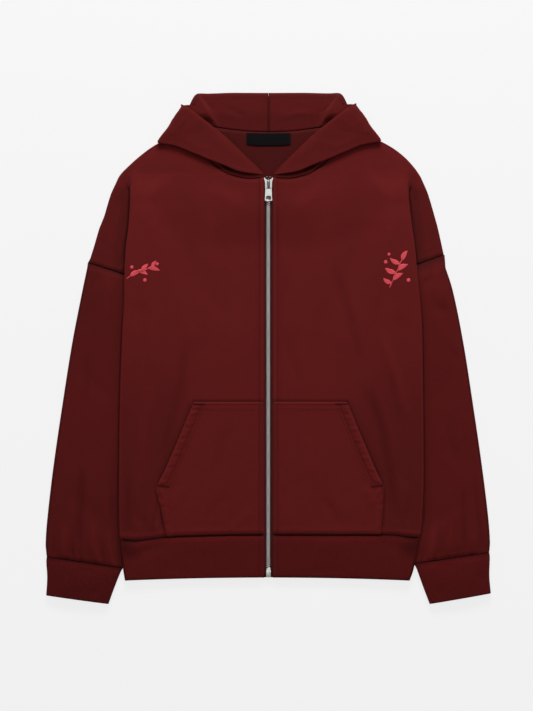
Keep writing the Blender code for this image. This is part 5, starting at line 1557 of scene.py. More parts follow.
def repeat_tree(name, sizes):
    """A tree that sets small pieces along its paths at a pitch. `sizes` are its inputs; the thread or tooth is made in it."""
    tree = bpy.data.node_groups.new(name, "GeometryNodeTree")
    tree.is_modifier = True
    face = tree.interface
    face.new_socket("Path", in_out="INPUT", socket_type="NodeSocketGeometry")
    for size, value in sizes.items():
        made = face.new_socket(size, in_out="INPUT", socket_type="NodeSocketFloat")
        made.default_value = value
    face.new_socket("Finish", in_out="INPUT", socket_type="NodeSocketMaterial")
    face.new_socket("Pieces", in_out="OUTPUT", socket_type="NodeSocketGeometry")
    return tree, tree_node(tree, "NodeGroupInput"), tree_node(tree, "NodeGroupOutput")


def along_path(tree, start, end, small, round_pieces=True):
    """Lays the small piece along the paths at the pitch, turned to follow them, and makes it real."""
    link = tree.links.new
    line = tree_node(tree, "GeometryNodeMeshToCurve")
    link(start.outputs["Path"], line.inputs[0])
    spots = tree_node(tree, "GeometryNodeResampleCurve", mode="LENGTH")
    link(line.outputs[0], spots.inputs["Curve"])
    link(start.outputs["Pitch"], spots.inputs["Length"])
    tangent = tree_node(tree, "GeometryNodeInputTangent")
    turn = tree_node(tree, "FunctionNodeAlignRotationToVector", axis="X")
    link(tangent.outputs[0], turn.inputs["Vector"])
    upright = tree_node(tree, "FunctionNodeAlignRotationToVector", axis="Z", pivot_axis="X")
    upright.inputs["Vector"].default_value = (0.0, 0.0, 1.0)
    link(turn.outputs[0], upright.inputs["Rotation"])
    laid = tree_node(tree, "GeometryNodeInstanceOnPoints")
    link(spots.outputs[0], laid.inputs["Points"])
    link(small, laid.inputs["Instance"])
    link(upright.outputs[0], laid.inputs["Rotation"])
    real = tree_node(tree, "GeometryNodeRealizeInstances")
    link(laid.outputs[0], real.inputs[0])
    painted = tree_node(tree, "GeometryNodeSetMaterial")
    link(real.outputs[0], painted.inputs["Geometry"])
    link(start.outputs["Finish"], painted.inputs["Material"])
    smoothed = tree_node(tree, "GeometryNodeSetShadeSmooth")
    smoothed.inputs["Shade Smooth"].default_value = round_pieces
    link(painted.outputs[0], smoothed.inputs[0])
    link(smoothed.outputs[0], end.inputs["Pieces"])


def three(tree, x, y, z):
    """A vector from three sizes, each a socket or a number."""
    made = tree_node(tree, "ShaderNodeCombineXYZ")
    for socket, value in zip(made.inputs, (x, y, z)):
        if isinstance(value, (int, float)):
            socket.default_value = value
        else:
            tree.links.new(value, socket)
    return made.outputs[0]


def times(tree, value, factor):
    made = tree_node(tree, "ShaderNodeMath", operation="MULTIPLY")
    tree.links.new(value, made.inputs[0])
    made.inputs[1].default_value = factor
    return made.outputs[0]


def stitch_tree():
    tree, start, end = repeat_tree("stitches along seams", {"Pitch": 0.003, "Stitch length": 0.0025, "Thread width": 0.0007})
    ball = tree_node(tree, "GeometryNodeMeshUVSphere")
    ball.inputs["Segments"].default_value, ball.inputs["Rings"].default_value, ball.inputs["Radius"].default_value = 6, 5, 0.5
    shaped = tree_node(tree, "GeometryNodeTransform")
    tree.links.new(ball.outputs[0], shaped.inputs["Geometry"])
    size = three(tree, start.outputs["Stitch length"], start.outputs["Thread width"], times(tree, start.outputs["Thread width"], 0.8))
    tree.links.new(size, shaped.inputs["Scale"])
    along_path(tree, start, end, shaped.outputs[0])
    return tree


TOOTH_CREASE = 0.72


def teeth_tree():
    """A tooth is a foot that grips the tape's cord and a narrower head that meets the other side's teeth."""
    tree, start, end = repeat_tree("zip teeth", {"Pitch": 0.0031, "Tooth reach": 0.0042, "Tooth width": 0.00145, "Tooth height": 0.0025, "Side": 1.0})
    link = tree.links.new
    parts = tree_node(tree, "GeometryNodeJoinGeometry")
    reach, width, height = (start.outputs[n] for n in ("Tooth reach", "Tooth width", "Tooth height"))
    for place, share, wide, tall in ((0.72, 0.56, 1.0, 1.0), (0.28, 0.56, 0.74, 0.86)):
        block = tree_node(tree, "GeometryNodeMeshCube")
        softened = tree_node(tree, "GeometryNodeSubdivisionSurface")
        softened.inputs["Level"].default_value = 1
        softened.inputs["Edge Crease"].default_value = TOOTH_CREASE
        link(block.outputs["Mesh"], softened.inputs["Mesh"])
        shaped = tree_node(tree, "GeometryNodeTransform")
        link(softened.outputs["Mesh"], shaped.inputs["Geometry"])
        link(three(tree, times(tree, width, wide), times(tree, reach, share), times(tree, height, tall)), shaped.inputs["Scale"])
        across = tree_node(tree, "ShaderNodeMath", operation="MULTIPLY")
        link(times(tree, reach, place), across.inputs[0])
        link(start.outputs["Side"], across.inputs[1])
        link(three(tree, 0.0, across.outputs[0], 0.0), shaped.inputs["Translation"])
        link(shaped.outputs[0], parts.inputs[0])
    along_path(tree, start, end, parts.outputs[0], round_pieces=False)
    return tree


def repeated(name, tree, paths, finish, **sizes):
    """Lines of points in millimetres, with the tree's small pieces laid along them, as one plain mesh."""
    points, edges = [], []
    for path in paths:
        first = len(points)
        points += [[c * MM for c in p] for p in path]
        edges += [(first + n, first + n + 1) for n in range(len(path) - 1)]
    mesh = bpy.data.meshes.new(name)
    mesh.from_pydata(points, edges, [])
    guide = bpy.data.objects.new(name + "_guide", mesh)
    bpy.context.scene.collection.objects.link(guide)
    layer = guide.modifiers.new("repeat", "NODES")
    layer.node_group = tree
    sockets = {item.name: item.identifier for item in tree.interface.items_tree if item.in_out == "INPUT"}
    layer[sockets["Finish"]] = finish
    for size, value in sizes.items():
        layer[sockets[size.replace("_", " ").capitalize()]] = value
    made_mesh = bpy.data.meshes.new_from_object(guide.evaluated_get(bpy.context.evaluated_depsgraph_get()))
    bpy.data.objects.remove(guide)
    bpy.data.meshes.remove(mesh)
    made_mesh.name = name
    made = bpy.data.objects.new(name, made_mesh)
    bpy.context.scene.collection.objects.link(made)
    return made


def make_teeth(side, tree):
    sign = SIDES[side]
    offset = 0.0 if side == "right" else TOOTH_PITCH / 2
    top, bottom = TEETH_START - offset, BOX_TOP + SEAM_GAP + 0.8 + TOOTH_PITCH / 2 - offset
    ys = spaced(top, bottom, 4.0)
    middle = (TEETH_BELOW + TEETH_TOP) / 2
    # the path runs down the chain's middle line, and the tooth reaches out from it
    path = [(CHAIN_MIDDLE - sign * TOOTH_OVERLAP, y, lift(0.0, y) + middle) for y in ys]
    teeth = repeated(
        f"zip_teeth_{side}_row", tree, [path], TOOTH_FINISH,
        pitch=TOOTH_PITCH * MM, tooth_reach=3.15 * MM, tooth_width=1.25 * MM, tooth_height=(TEETH_TOP - TEETH_BELOW) * MM, side=sign,
    )
    return dress(teeth, f"zip_teeth_{side}")


TOOTH_PITCH = 3.27
CHAIN_MIDDLE, TOOTH_OVERLAP = -0.35, 0.4


def top_finder(*things):
    """Returns a function that drops a point in plan onto the top of these pieces, in millimetres."""
    graph = bpy.context.evaluated_depsgraph_get()
    trees = []
    for thing in things:
        work = bmesh.new()
        work.from_object(thing, graph)
        trees.append(BVHTree.FromBMesh(work))
        work.free()

    def drop(x, y, above=0.0):
        found = [tree.ray_cast(Vector((x * MM, y * MM, 0.2)), Vector((0.0, 0.0, -1.0)))[0] for tree in trees]
        found = [spot.z / MM for spot in found if spot]
        return (x, y, max(found) + above) if found else None

    return drop


def dropped(drop, line, above, step=2.0):
    """A line of plan points, filled in at a step and dropped onto the cloth."""
    made = []
    for (x0, y0), (x1, y1) in zip(line, line[1:]):
        count = max(1, round(math.hypot(x1 - x0, y1 - y0) / step))
        for n in range(count + (1 if (x1, y1) == line[-1] else 0)):
            spot = drop(mix(x0, x1, n / count), mix(y0, y1, n / count), above)
            if spot:
                made.append(spot)
    return made


# ---------------------------------------------------------------- finishes


def effect(name, inputs, outputs):
    """A shader node group with named inputs and outputs."""
    tree = bpy.data.node_groups.new(name, "ShaderNodeTree")
    for socket, value in inputs.items():
        made = tree.interface.new_socket(socket, in_out="INPUT", socket_type="NodeSocketFloat")
        made.default_value = value
    for socket, kind in outputs.items():
        tree.interface.new_socket(socket, in_out="OUTPUT", socket_type=kind)
    return tree, tree_node(tree, "NodeGroupInput"), tree_node(tree, "NodeGroupOutput")


def maths(tree, operation, *values):
    made = tree_node(tree, "ShaderNodeMath", operation=operation)
    for socket, value in zip(made.inputs, values):
        if isinstance(value, (int, float)):
            socket.default_value = value
        else:
            tree.links.new(value, socket)
    return made.outputs[0]


def noise(tree, place, scale, detail=2.0, roughness=0.5):
    made = tree_node(tree, "ShaderNodeTexNoise")
    tree.links.new(place, made.inputs["Vector"])
    if isinstance(scale, (int, float)):
        made.inputs["Scale"].default_value = scale
    else:
        tree.links.new(scale, made.inputs["Scale"])
    made.inputs["Detail"].default_value = detail
    made.inputs["Roughness"].default_value = roughness
    return made.outputs["Fac"]


def knit_effect():
    """Columns of small V-shaped loops: wales across, courses down. Height is 0 between the loops and 1 on them."""
    tree, start, end = effect("knit loops", {"Wale": 0.0009, "Course": 0.0007, "Slant": 0.55}, {"Height": "NodeSocketFloat", "Shade": "NodeSocketFloat"})
    place = tree_node(tree, "ShaderNodeUVMap", uv_map="cloth")
    parts = tree_node(tree, "ShaderNodeSeparateXYZ")
    tree.links.new(place.outputs[0], parts.inputs[0])
    across = maths(tree, "DIVIDE", parts.outputs["X"], start.outputs["Wale"])
    # threads wander a little, so no column is straight
    wander = noise(tree, place.outputs[0], 260.0, 2.0)
    across = maths(tree, "ADD", across, maths(tree, "MULTIPLY", wander, 0.7))
    inside = maths(tree, "ABSOLUTE", maths(tree, "SUBTRACT", maths(tree, "FRACT", across), 0.5))
    down = maths(tree, "DIVIDE", parts.outputs["Y"], start.outputs["Course"])
    down = maths(tree, "ADD", down, maths(tree, "MULTIPLY", inside, maths(tree, "MULTIPLY", start.outputs["Slant"], 2.0)))
    loop = maths(tree, "ADD", maths(tree, "MULTIPLY", maths(tree, "SINE", maths(tree, "MULTIPLY", down, 2 * math.pi)), 0.5), 0.5)
    wale = maths(tree, "SUBTRACT", 1.0, maths(tree, "POWER", maths(tree, "MULTIPLY", inside, 2.0), 3.0))
    height = maths(tree, "MULTIPLY", maths(tree, "ADD", maths(tree, "MULTIPLY", loop, 0.6), 0.4), wale)
    tree.links.new(height, end.inputs["Height"])
    # Shade is painted shade: darker between the loops, lighter on them
    tree.links.new(maths(tree, "ADD", 0.86, maths(tree, "MULTIPLY", height, 0.2)), end.inputs["Shade"])
    return tree


def fuzz_effect():
    """Brushed fibres and the slow unevenness of dyed cotton: a shade about 1, a height and a worn mask."""
    tree, start, end = effect(
        "dyed cotton", {"Fuzz": 1.0, "Blotch": 0.1, "Speck": 0.12}, {"Shade": "NodeSocketFloat", "Height": "NodeSocketFloat", "Worn": "NodeSocketFloat"}
    )
    place = tree_node(tree, "ShaderNodeTexCoord").outputs["Object"]
    blotch = maths(tree, "SUBTRACT", noise(tree, place, 9.0, 4.0, 0.62), 0.5)
    middle = maths(tree, "SUBTRACT", noise(tree, place, 60.0, 3.0, 0.6), 0.5)
    speck = maths(tree, "SUBTRACT", noise(tree, place, 900.0, 3.0, 0.7), 0.5)
    shade = maths(tree, "ADD", 1.0, maths(tree, "MULTIPLY", blotch, start.outputs["Blotch"]))
    shade = maths(tree, "ADD", shade, maths(tree, "MULTIPLY", middle, maths(tree, "MULTIPLY", start.outputs["Blotch"], 0.8)))
    shade = maths(tree, "ADD", shade, maths(tree, "MULTIPLY", speck, start.outputs["Speck"]))
    tree.links.new(shade, end.inputs["Shade"])
    fibres = noise(tree, place, 1500.0, 4.0, 0.75)
    pill = noise(tree, place, 240.0, 2.0, 0.5)
    tree.links.new(maths(tree, "MULTIPLY", maths(tree, "ADD", fibres, maths(tree, "MULTIPLY", pill, 0.8)), start.outputs["Fuzz"]), end.inputs["Height"])
    tree.links.new(maths(tree, "MULTIPLY", maths(tree, "GREATER_THAN", noise(tree, place, 420.0, 1.0), 0.7), 0.35), end.inputs["Worn"])
    return tree


def wear_effect():
    """Handled metal: fine scratches and a cloudy film."""
    tree, start, end = effect(
        "handled metal", {"Scratch": 0.12, "Cloud": 0.12}, {"Shade": "NodeSocketFloat", "Roughness": "NodeSocketFloat", "Height": "NodeSocketFloat"}
    )
    place = tree_node(tree, "ShaderNodeTexCoord").outputs["Object"]
    drawn = tree_node(tree, "ShaderNodeMapping")
    drawn.inputs["Scale"].default_value = (3200.0, 180.0, 900.0)
    drawn.inputs["Rotation"].default_value = (0.0, 0.0, 0.2)
    tree.links.new(place, drawn.inputs["Vector"])
    scratch = noise(tree, drawn.outputs[0], 1.0, 3.0, 0.7)
    cloud = noise(tree, place, 380.0, 3.0, 0.6)
    rough = maths(tree, "ADD", 0.2, maths(tree, "ADD", maths(tree, "MULTIPLY", scratch, start.outputs["Scratch"]), maths(tree, "MULTIPLY", cloud, start.outputs["Cloud"])))
    tree.links.new(rough, end.inputs["Roughness"])
    tree.links.new(maths(tree, "SUBTRACT", 1.04, maths(tree, "MULTIPLY", cloud, 0.2)), end.inputs["Shade"])
    tree.links.new(maths(tree, "ADD", scratch, cloud), end.inputs["Height"])
    return tree


def finish_of(name, roughness, metallic=0.0, **constants):
    """A new material with its shader's constant values set on the shader's own sockets."""
    made = bpy.data.materials.new(name)
    made.use_nodes = True
    shader = made.node_tree.nodes["Principled BSDF"]
    shader.inputs["Roughness"].default_value = roughness
    shader.inputs["Metallic"].default_value = metallic
    for socket, value in constants.items():
        shader.inputs[socket.replace("_", " ")].default_value = value
    return made, made.node_tree, shader


def placed(tree, group, **values):
    made = tree_node(tree, "ShaderNodeGroup")
    made.node_tree = group
    for socket, value in values.items():
        made.inputs[socket.replace("_", " ")].default_value = value
    return made


def shaded(tree, colour, shade):
    """A colour made lighter and darker over the surface."""
    made = tree_node(tree, "ShaderNodeVectorMath", operation="SCALE")
    made.inputs[0].default_value = colour[:3]
    tree.links.new(shade, made.inputs["Scale"])
    return made.outputs[0]


def raised(tree, shader, height, distance, strength=1.0):
    bump = tree_node(tree, "ShaderNodeBump")
    bump.inputs["Distance"].default_value = distance
    bump.inputs["Strength"].default_value = strength
    tree.links.new(height, bump.inputs["Height"])
    tree.links.new(bump.outputs[0], shader.inputs["Normal"])


def cotton(name, colour, wale, course, knit_height, fuzz, blotch, sheen, roughness=0.92):
    """Knitted cotton: loops under a brushed surface, dyed a little unevenly, and darkened by the points' painted shade
    or lightened by their painted highlight.
    """
    made, tree, shader = finish_of(name, roughness, Sheen_Weight=sheen, Sheen_Roughness=0.5, Sheen_Tint=(0.72, 0.16, 0.14, 1.0), Specular_IOR_Level=0.1)
    loops = placed(tree, KNIT, Wale=wale, Course=course)
    dyed = placed(tree, DYED, Fuzz=fuzz, Blotch=blotch)
    # the points' painted shade darkens the base colour, and below 0 lightens it as painted highlight
    painted_shade = tree_node(tree, "ShaderNodeAttribute", attribute_name="painted_shade").outputs["Fac"]
    shade = maths(tree, "MULTIPLY", loops.outputs["Shade"], dyed.outputs["Shade"])
    shade = maths(tree, "MULTIPLY", shade, maths(tree, "MAXIMUM", 0.06, maths(tree, "SUBTRACT", 1.0, painted_shade)))
    tree.links.new(shaded(tree, colour, shade), shader.inputs["Base Color"])
    height = maths(tree, "ADD", maths(tree, "MULTIPLY", loops.outputs["Height"], knit_height), maths(tree, "MULTIPLY", dyed.outputs["Height"], 0.5))
    raised(tree, shader, height, 0.00022)
    tree.links.new(maths(tree, "SUBTRACT", roughness, maths(tree, "MULTIPLY", dyed.outputs["Worn"], 0.1)), shader.inputs["Roughness"])
    return made


def woven(name, colour, thread, roughness, satin=0.0, gloss=0.18):
    """A flat weave of threads over and under each other, or a satin whose threads lie mostly one way."""
    made, tree, shader = finish_of(name, roughness, Specular_IOR_Level=gloss)
    place = tree_node(tree, "ShaderNodeUVMap", uv_map="cloth")
    parts = tree_node(tree, "ShaderNodeSeparateXYZ")
    tree.links.new(place.outputs[0], parts.inputs[0])
    wide, tall = (maths(tree, "SINE", maths(tree, "MULTIPLY", parts.outputs[axis], math.pi / size)) for axis, size in (("X", thread), ("Y", thread * (1.0 - 0.5 * satin))))
    crossing = maths(tree, "MULTIPLY", wide, tall)
    ribs = maths(tree, "MULTIPLY", tall, satin)
    height = maths(tree, "ADD", maths(tree, "MULTIPLY", crossing, 0.5 * (1.0 - satin) + 0.15), ribs)
    dyed = placed(tree, DYED, Fuzz=0.4, Blotch=0.08)
    # raised threads are painted lighter: painted highlight on the weave
    shade = maths(tree, "MULTIPLY", dyed.outputs["Shade"], maths(tree, "ADD", 0.95, maths(tree, "MULTIPLY", height, 0.16)))
    tree.links.new(shaded(tree, colour, shade), shader.inputs["Base Color"])
    raised(tree, shader, maths(tree, "ADD", height, maths(tree, "MULTIPLY", dyed.outputs["Height"], 0.2)), 0.00014)
    return made


def thread(name, colour):
    """Twisted sewing thread, a little brighter than the cloth."""
    made, tree, shader = finish_of(name, 0.8, Specular_IOR_Level=0.08)
    place = tree_node(tree, "ShaderNodeTexCoord").outputs["Object"]
    twist = tree_node(tree, "ShaderNodeTexWave")
    twist.inputs["Scale"].default_value = 620.0
    twist.inputs["Distortion"].default_value = 1.5
    tree.links.new(place, twist.inputs["Vector"])
    dyed = placed(tree, DYED, Fuzz=0.3, Blotch=0.15)
    # the thread is painted lighter and darker along its twist: painted highlight and shade
    shade = maths(tree, "MULTIPLY", dyed.outputs["Shade"], maths(tree, "ADD", 0.8, maths(tree, "MULTIPLY", twist.outputs["Fac"], 0.35)))
    tree.links.new(shaded(tree, colour, shade), shader.inputs["Base Color"])
    raised(tree, shader, twist.outputs["Fac"], 0.0001)
    return made


def metal(name, colour, scratch, cloud, blur=0.0):
    made, tree, shader = finish_of(name, 0.3, 1.0)
    worn = placed(tree, WORN, Scratch=scratch, Cloud=cloud)
    tree.links.new(shaded(tree, colour, worn.outputs["Shade"]), shader.inputs["Base Color"])
    tree.links.new(maths(tree, "ADD", worn.outputs["Roughness"], blur), shader.inputs["Roughness"])
    raised(tree, shader, worn.outputs["Height"], 0.00003)
    return made


def ink(name, colour):
    """Rubbery printed ink, which sinks into the knit and cracks finely."""
    made, tree, shader = finish_of(name, 0.62, Specular_IOR_Level=0.35)
    dyed = placed(tree, DYED, Fuzz=0.5, Blotch=0.1, Speck=0.1)
    place = tree_node(tree, "ShaderNodeTexCoord").outputs["Object"]
    cracks = tree_node(tree, "ShaderNodeTexVoronoi", feature="DISTANCE_TO_EDGE")
    cracks.inputs["Scale"].default_value = 620.0
    tree.links.new(place, cracks.inputs["Vector"])
    line = maths(tree, "MINIMUM", maths(tree, "MULTIPLY", cracks.outputs["Distance"], 9.0), 1.0)
    shade = maths(tree, "MULTIPLY", dyed.outputs["Shade"], maths(tree, "ADD", 0.86, maths(tree, "MULTIPLY", line, 0.14)))
    tree.links.new(shaded(tree, colour, shade), shader.inputs["Base Color"])
    raised(tree, shader, maths(tree, "ADD", line, dyed.outputs["Height"]), 0.00012)
    return made


def plain_floor(name, colour, glow):
    made, tree, shader = finish_of(name, 0.9, Specular_IOR_Level=0.0, Emission_Strength=glow, Emission_Color=(1.0, 1.0, 1.0, 1.0))
    place = tree_node(tree, "ShaderNodeTexCoord").outputs["Object"]
    shade = maths(tree, "ADD", 0.997, maths(tree, "MULTIPLY", noise(tree, place, 4.0), 0.006))
    tree.links.new(shaded(tree, colour, shade), shader.inputs["Base Color"])
    return made


# ---------------------------------------------------------------- threads and print


def front_paths(side, drop):
    """The placket's stitches, down the front and on through the hem."""
    sign = SIDES[side]
    return [dropped(drop, [(sign * PLACKET, 261.0), (sign * PLACKET, -351.0)], 0.12)]


def pocket_paths(side, drop):
    sign = SIDES[side]
    top, corner = -82.6, -213.0
    paths = []
    for inside in (POCKET_HEM - 1.0, POCKET_HEM + 3.2):
        line = [(sign * (pocket_outer(side, y) - inside * 1.08), y) for y in spaced(top - 3.0, corner - 1.0, 4.0)]
        paths.append(dropped(drop, line, 0.14))
    for below in (2.2, 5.6):
        paths.append(dropped(drop, [(sign * 11.0, top - below), (sign * (pocket_outer(side, top - below) - 3.0), top - below)], 0.14))
    for inside in (1.8, 5.2):
        line = [(sign * (pocket_outer(side, y) - inside), y) for y in spaced(corner - 6.0, -286.0, 4.0)]
        paths.append(dropped(drop, line, 0.14))
    return paths


def tack_paths(side, drop):
    """Bar-tacks across the ends of a pocket's opening: a few close lines of thread."""
    sign = SIDES[side]
    tacks = []
    for y, slope in ((-86.4, 0.0), (-211.6, -0.34)):
        outer = pocket_outer(side, y)
        for n in range(5):
            line = [(sign * (outer - 1.5), y + 0.5 * n), (sign * (outer - 19.0), y + 0.5 * n + slope * 8.0)]
            tacks.append(dropped(drop, line, 0.28))
    return tacks


def seam_paths(side, drop_sleeve, drop_hood, drop_cap):
    """A single line beside the armhole."""
    sign = SIDES[side]
    paths = []
    for above in (2.6,):
        line = [(sign * x, armhole_y(side, x) + above) for x in (232.0, 244.0, 256.0, 266.0)]
        paths.append(dropped(drop_cap, line, 0.1))
    return paths


def make_threads():
    stitches = stitch_tree()
    fine = dict(pitch=3.0 * MM, stitch_length=2.5 * MM, thread_width=0.62 * MM)
    close = dict(pitch=0.75 * MM, stitch_length=1.5 * MM, thread_width=0.5 * MM)
    for side in SIDES:
        front, pocket, hem = (bpy.data.objects[n] for n in (f"front_{side}_cloth", f"pocket_{side}_cloth", "hem_band_rib"))
        drop = top_finder(front, pocket, hem)
        finish_piece(repeated(f"placket_stitches_{side}", stitches, front_paths(side, drop), THREAD_FINISH, **fine))
        on_pocket = top_finder(pocket)
        finish_piece(repeated(f"pocket_stitches_{side}", stitches, pocket_paths(side, on_pocket), THREAD_FINISH, **fine))
        finish_piece(repeated(f"pocket_bar_tacks_{side}", stitches, tack_paths(side, on_pocket), TACK_FINISH, **close))
        finish_piece(repeated(f"armhole_stitches_{side}", stitches, seam_paths(side, None, None, top_finder(front)), THREAD_FINISH, **fine))
    label = top_finder(bpy.data.objects["neck_label_weave"])
    ends = []
    for sign in (1, -1):
        x = sign * (LABEL_WIDE / 2 - 2.2)
        ends.append(dropped(label, [(x, LABEL_TOP - 1.2), (x, LABEL_TOP - LABEL_TALL + 0.2)], 0.1, 1.0))
    finish_piece(repeated("label_stitches", stitches, ends, LABEL_THREAD_FINISH, pitch=1.9 * MM, stitch_length=1.5 * MM, thread_width=0.4 * MM))


def leaf(drop, x, y, turn, long, wide):
    """A leaf shape laid on the cloth, from its stalk end."""
    rows = []
    for n in range(13):
        share = n / 12
        half = wide / 2 * math.sin(math.pi * share**0.8) ** 0.9
        bend = 0.08 * long * math.sin(math.pi * share)
        row = []
        for k in range(-3, 4):
            along, beside = share * long, half * k / 3 + bend
            row.append((x + along * math.cos(turn) - beside * math.sin(turn), y + along * math.sin(turn) + beside * math.cos(turn)))
        rows.append([drop(*p, 0.16) for p in row])
    return rows


def dot(drop, x, y, radius):
    rows = []
    for n in range(4):
        reach = radius * n / 3
        rows.append([drop(x + reach * math.cos(a * math.pi / 8), y + reach * math.sin(a * math.pi / 8), 0.16) for a in range(17)])
    return rows


# Printed sprigs, by the middle and turn of each leaf or berry: x, y, turn in degrees, length, width
PRINTS = {
    "right": {
        "leaves": (
            (-214.0, 112.0, 24.0, 19.0, 7.4), (-203.0, 121.0, -22.0, 18.0, 7.0), (-196.0, 118.0, 52.0, 17.0, 6.8),
            (-186.0, 125.0, -14.0, 18.0, 7.0), (-180.0, 125.0, 60.0, 13.0, 5.6),
        ),
        "dots": ((-211.0, 126.0, 2.7), (-191.0, 106.0, 2.7), (-172.0, 131.0, 2.5)),
        "stalk": ((-219.0, 108.0), (-206.0, 117.0), (-192.0, 121.0), (-178.0, 127.0), (-168.0, 121.0)),
    },
    "left": {
        "leaves": (
            (190.0, 101.0, 148.0, 15.0, 7.0), (192.0, 106.0, 34.0, 19.0, 8.0), (197.0, 117.0, 156.0, 19.0, 8.0),
            (199.0, 121.0, 30.0, 19.0, 8.0), (203.0, 131.0, 150.0, 18.0, 7.6), (206.0, 136.0, 62.0, 18.0, 7.6),
        ),
        "dots": ((181.0, 134.0, 2.8), (216.0, 106.0, 3.0), (186.0, 146.0, 2.4)),
        "stalk": ((187.0, 94.0), (192.0, 106.0), (198.0, 119.0), (203.0, 131.0), (207.0, 140.0)),
    },
}


def make_prints():
    for side in SIDES:
        drop = top_finder(bpy.data.objects[f"front_{side}_cloth"])
        drawn = PRINTS[side]
        points, faces = [], []
        grids = []
        for x, y, turn, long, wide in drawn["leaves"]:
            grids.append(leaf(drop, x, y, math.radians(turn), long, wide))
        for x, y, radius in drawn["dots"]:
            grids.append(dot(drop, x, y, radius))
        line = curve_through([Vector((x, y, 0.0)) for x, y in drawn["stalk"]], (6,) * (len(drawn["stalk"]) - 1))
        stalk = []
        for k, p in enumerate(line):
            step = line[min(k + 1, len(line) - 1)] - line[max(k - 1, 0)]
            beside = Vector((-step.y, step.x, 0.0)).normalized() * 0.75
            stalk.append([drop(p.x - beside.x, p.y - beside.y, 0.16), drop(p.x, p.y, 0.16), drop(p.x + beside.x, p.y + beside.y, 0.16)])
        grids.append(stalk)
        for grid in grids:
            made_points, made_faces, _ = grid_faces(grid)
            first = len(points)
            points += made_points
            faces += [[first + n for n in face] for face in made_faces]
        print_mesh = bpy.data.meshes.new(f"sprig_print_{side}")
        print_mesh.from_pydata([[c * MM for c in p] for p in points], [], faces)
        work = bmesh.new()
        work.from_mesh(print_mesh)
        bmesh.ops.remove_doubles(work, verts=work.verts, dist=1e-6)
        work.normal_update()
        bmesh.ops.reverse_faces(work, faces=[face for face in work.faces if face.normal.z < 0])
        work.to_mesh(print_mesh)
        work.free()
        print_mesh.materials.append(INK_FINISH)
        print_mesh.shade_smooth()
        made = bpy.data.objects.new(f"sprig_print_{side}", print_mesh)
        bpy.context.scene.collection.objects.link(made)
        skin = made.modifiers.new("skin", "SOLIDIFY")
        skin.thickness = 0.14 * MM
        skin.offset = -1.0
        finish_piece(made)


# ---------------------------------------------------------------- floor, light and camera


def make_floor():
    rows = [[(x, y, -0.4) for x in spaced(9000.0, -9000.0, 1500.0)] for y in spaced(9000.0, -9000.0, 1500.0)]
    points, faces, _ = grid_faces(rows)
    new_piece("floor", points, faces, plain_floor("pale floor", (0.12, 0.12, 0.12, 1.0), 0.79), up=True)


def area_light(name, place, aim, size, power):
    lamp = bpy.data.lights.new(name, "AREA")
    lamp.shape = "RECTANGLE"
    lamp.size, lamp.size_y = size
    lamp.energy = power
    stand = bpy.data.objects.new(name, lamp)
    stand.location = place
    stand.rotation_euler = (Vector(aim) - Vector(place)).to_track_quat("-Z", "Y").to_euler()
    bpy.context.scene.collection.objects.link(stand)


def make_light():
    area_light("key over the hood", (0.1, 2.6, 1.35), (0.0, 0.0, 0.0), (1.7, 0.8), 100.0)
    area_light("wide overhead", (0.0, 0.3, 3.2), (0.0, 0.0, 0.0), (1.8, 1.8), 11.0)
    world = bpy.data.worlds.new("studio")
    world.use_nodes = True
    world.node_tree.nodes["Background"].inputs["Color"].default_value = (1.0, 1.0, 1.0, 1.0)
    world.node_tree.nodes["Background"].inputs["Strength"].default_value = 0.30
    bpy.context.scene.world = world


def make_camera():
    lens = bpy.data.cameras.new("camera")
    lens.lens = 85.0
    lens.sensor_width = 36.0
    lens.clip_start, lens.clip_end = 0.1, 20.0
    camera = bpy.data.objects.new("camera", lens)
    camera.location = (-0.0031, -0.0104, 2.604)
    bpy.context.scene.collection.objects.link(camera)
    bpy.context.scene.camera = camera


# ---------------------------------------------------------------- the whole garment

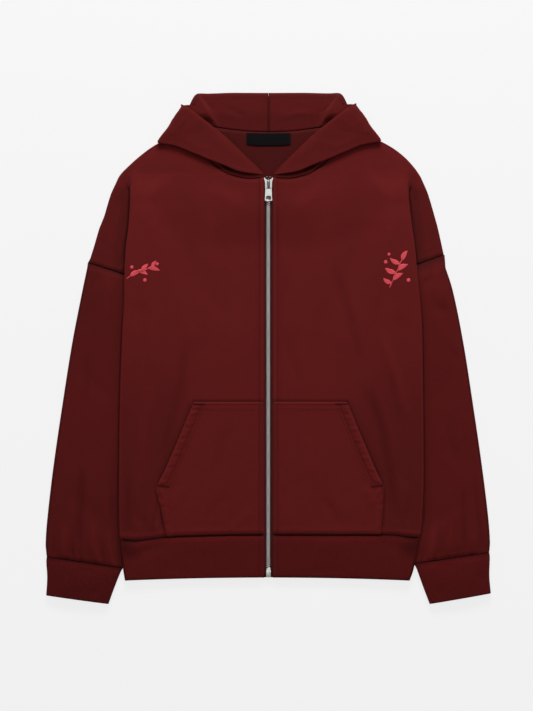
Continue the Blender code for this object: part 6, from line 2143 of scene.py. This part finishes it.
KNIT, DYED, WORN = knit_effect(), fuzz_effect(), wear_effect()
FLEECE_FINISH = cotton("fleece", (0.112, 0.0083, 0.0080), 0.00095, 0.00075, 0.7, 0.9, 0.12, 0.06)
# the sleeves' fleece is a darker copy of the same fleece: painted shade
SHADED_SLEEVE_FINISH = cotton("shaded fleece of the sleeves", (0.094, 0.0066, 0.0063), 0.00095, 0.00075, 0.7, 0.9, 0.12, 0.05)
# the hood's fleece is a darker copy of the same fleece: painted shade
SHADED_HOOD_FINISH = cotton("shaded fleece of the hood", (0.092, 0.0066, 0.0063), 0.00095, 0.00075, 0.7, 0.9, 0.12, 0.05)
RIB_FINISH = cotton("rib", (0.089, 0.0058, 0.0056), 0.0017, 0.0011, 1.1, 0.7, 0.1, 0.05)
TAPE_FINISH = woven("zip tape", (0.045, 0.006, 0.007), 0.0006, 0.8)
LABEL_FINISH = woven("label satin", (0.0036, 0.0028, 0.0028), 0.0003, 0.7, satin=0.35, gloss=0.06)
METAL_FINISH = metal("zip metal", (0.74, 0.73, 0.70), 0.2, 0.14)
TOOTH_FINISH = metal("zip teeth metal", (0.98, 0.97, 0.94), 0.16, 0.1, 0.42)
# a dark copy of the zip metal for the slider's wedge and crown and for the stops: painted shade
SHADED_METAL_FINISH = metal("zip metal in shade", (0.2, 0.19, 0.18), 0.16, 0.2, 0.1)
THREAD_FINISH = thread("burgundy thread", (0.085, 0.007, 0.007))
# the bar tacks' thread is a darker copy of the burgundy thread: painted shade
TACK_FINISH = thread("burgundy thread, close set", (0.066, 0.0052, 0.0052))
LABEL_THREAD_FINISH = thread("black thread", (0.02, 0.018, 0.02))
INK_FINISH = ink("coral ink", (0.66, 0.055, 0.075))

make_back()
make_hem()
make_fall()
make_stops()
make_slider()
make_pull_tab()
make_label()
TEETH = teeth_tree()
for wearer_side in SIDES:
    make_tape(wearer_side)
    make_teeth(wearer_side, TEETH)
    make_front(wearer_side)
    make_sleeve(wearer_side)
    make_cuff(wearer_side)
    make_pocket(wearer_side)
    make_hood(wearer_side)
make_threads()
make_prints()
make_floor()
make_light()
make_camera()

bpy.context.scene.view_settings.view_transform = "Standard"

bpy.context.view_layer.update()
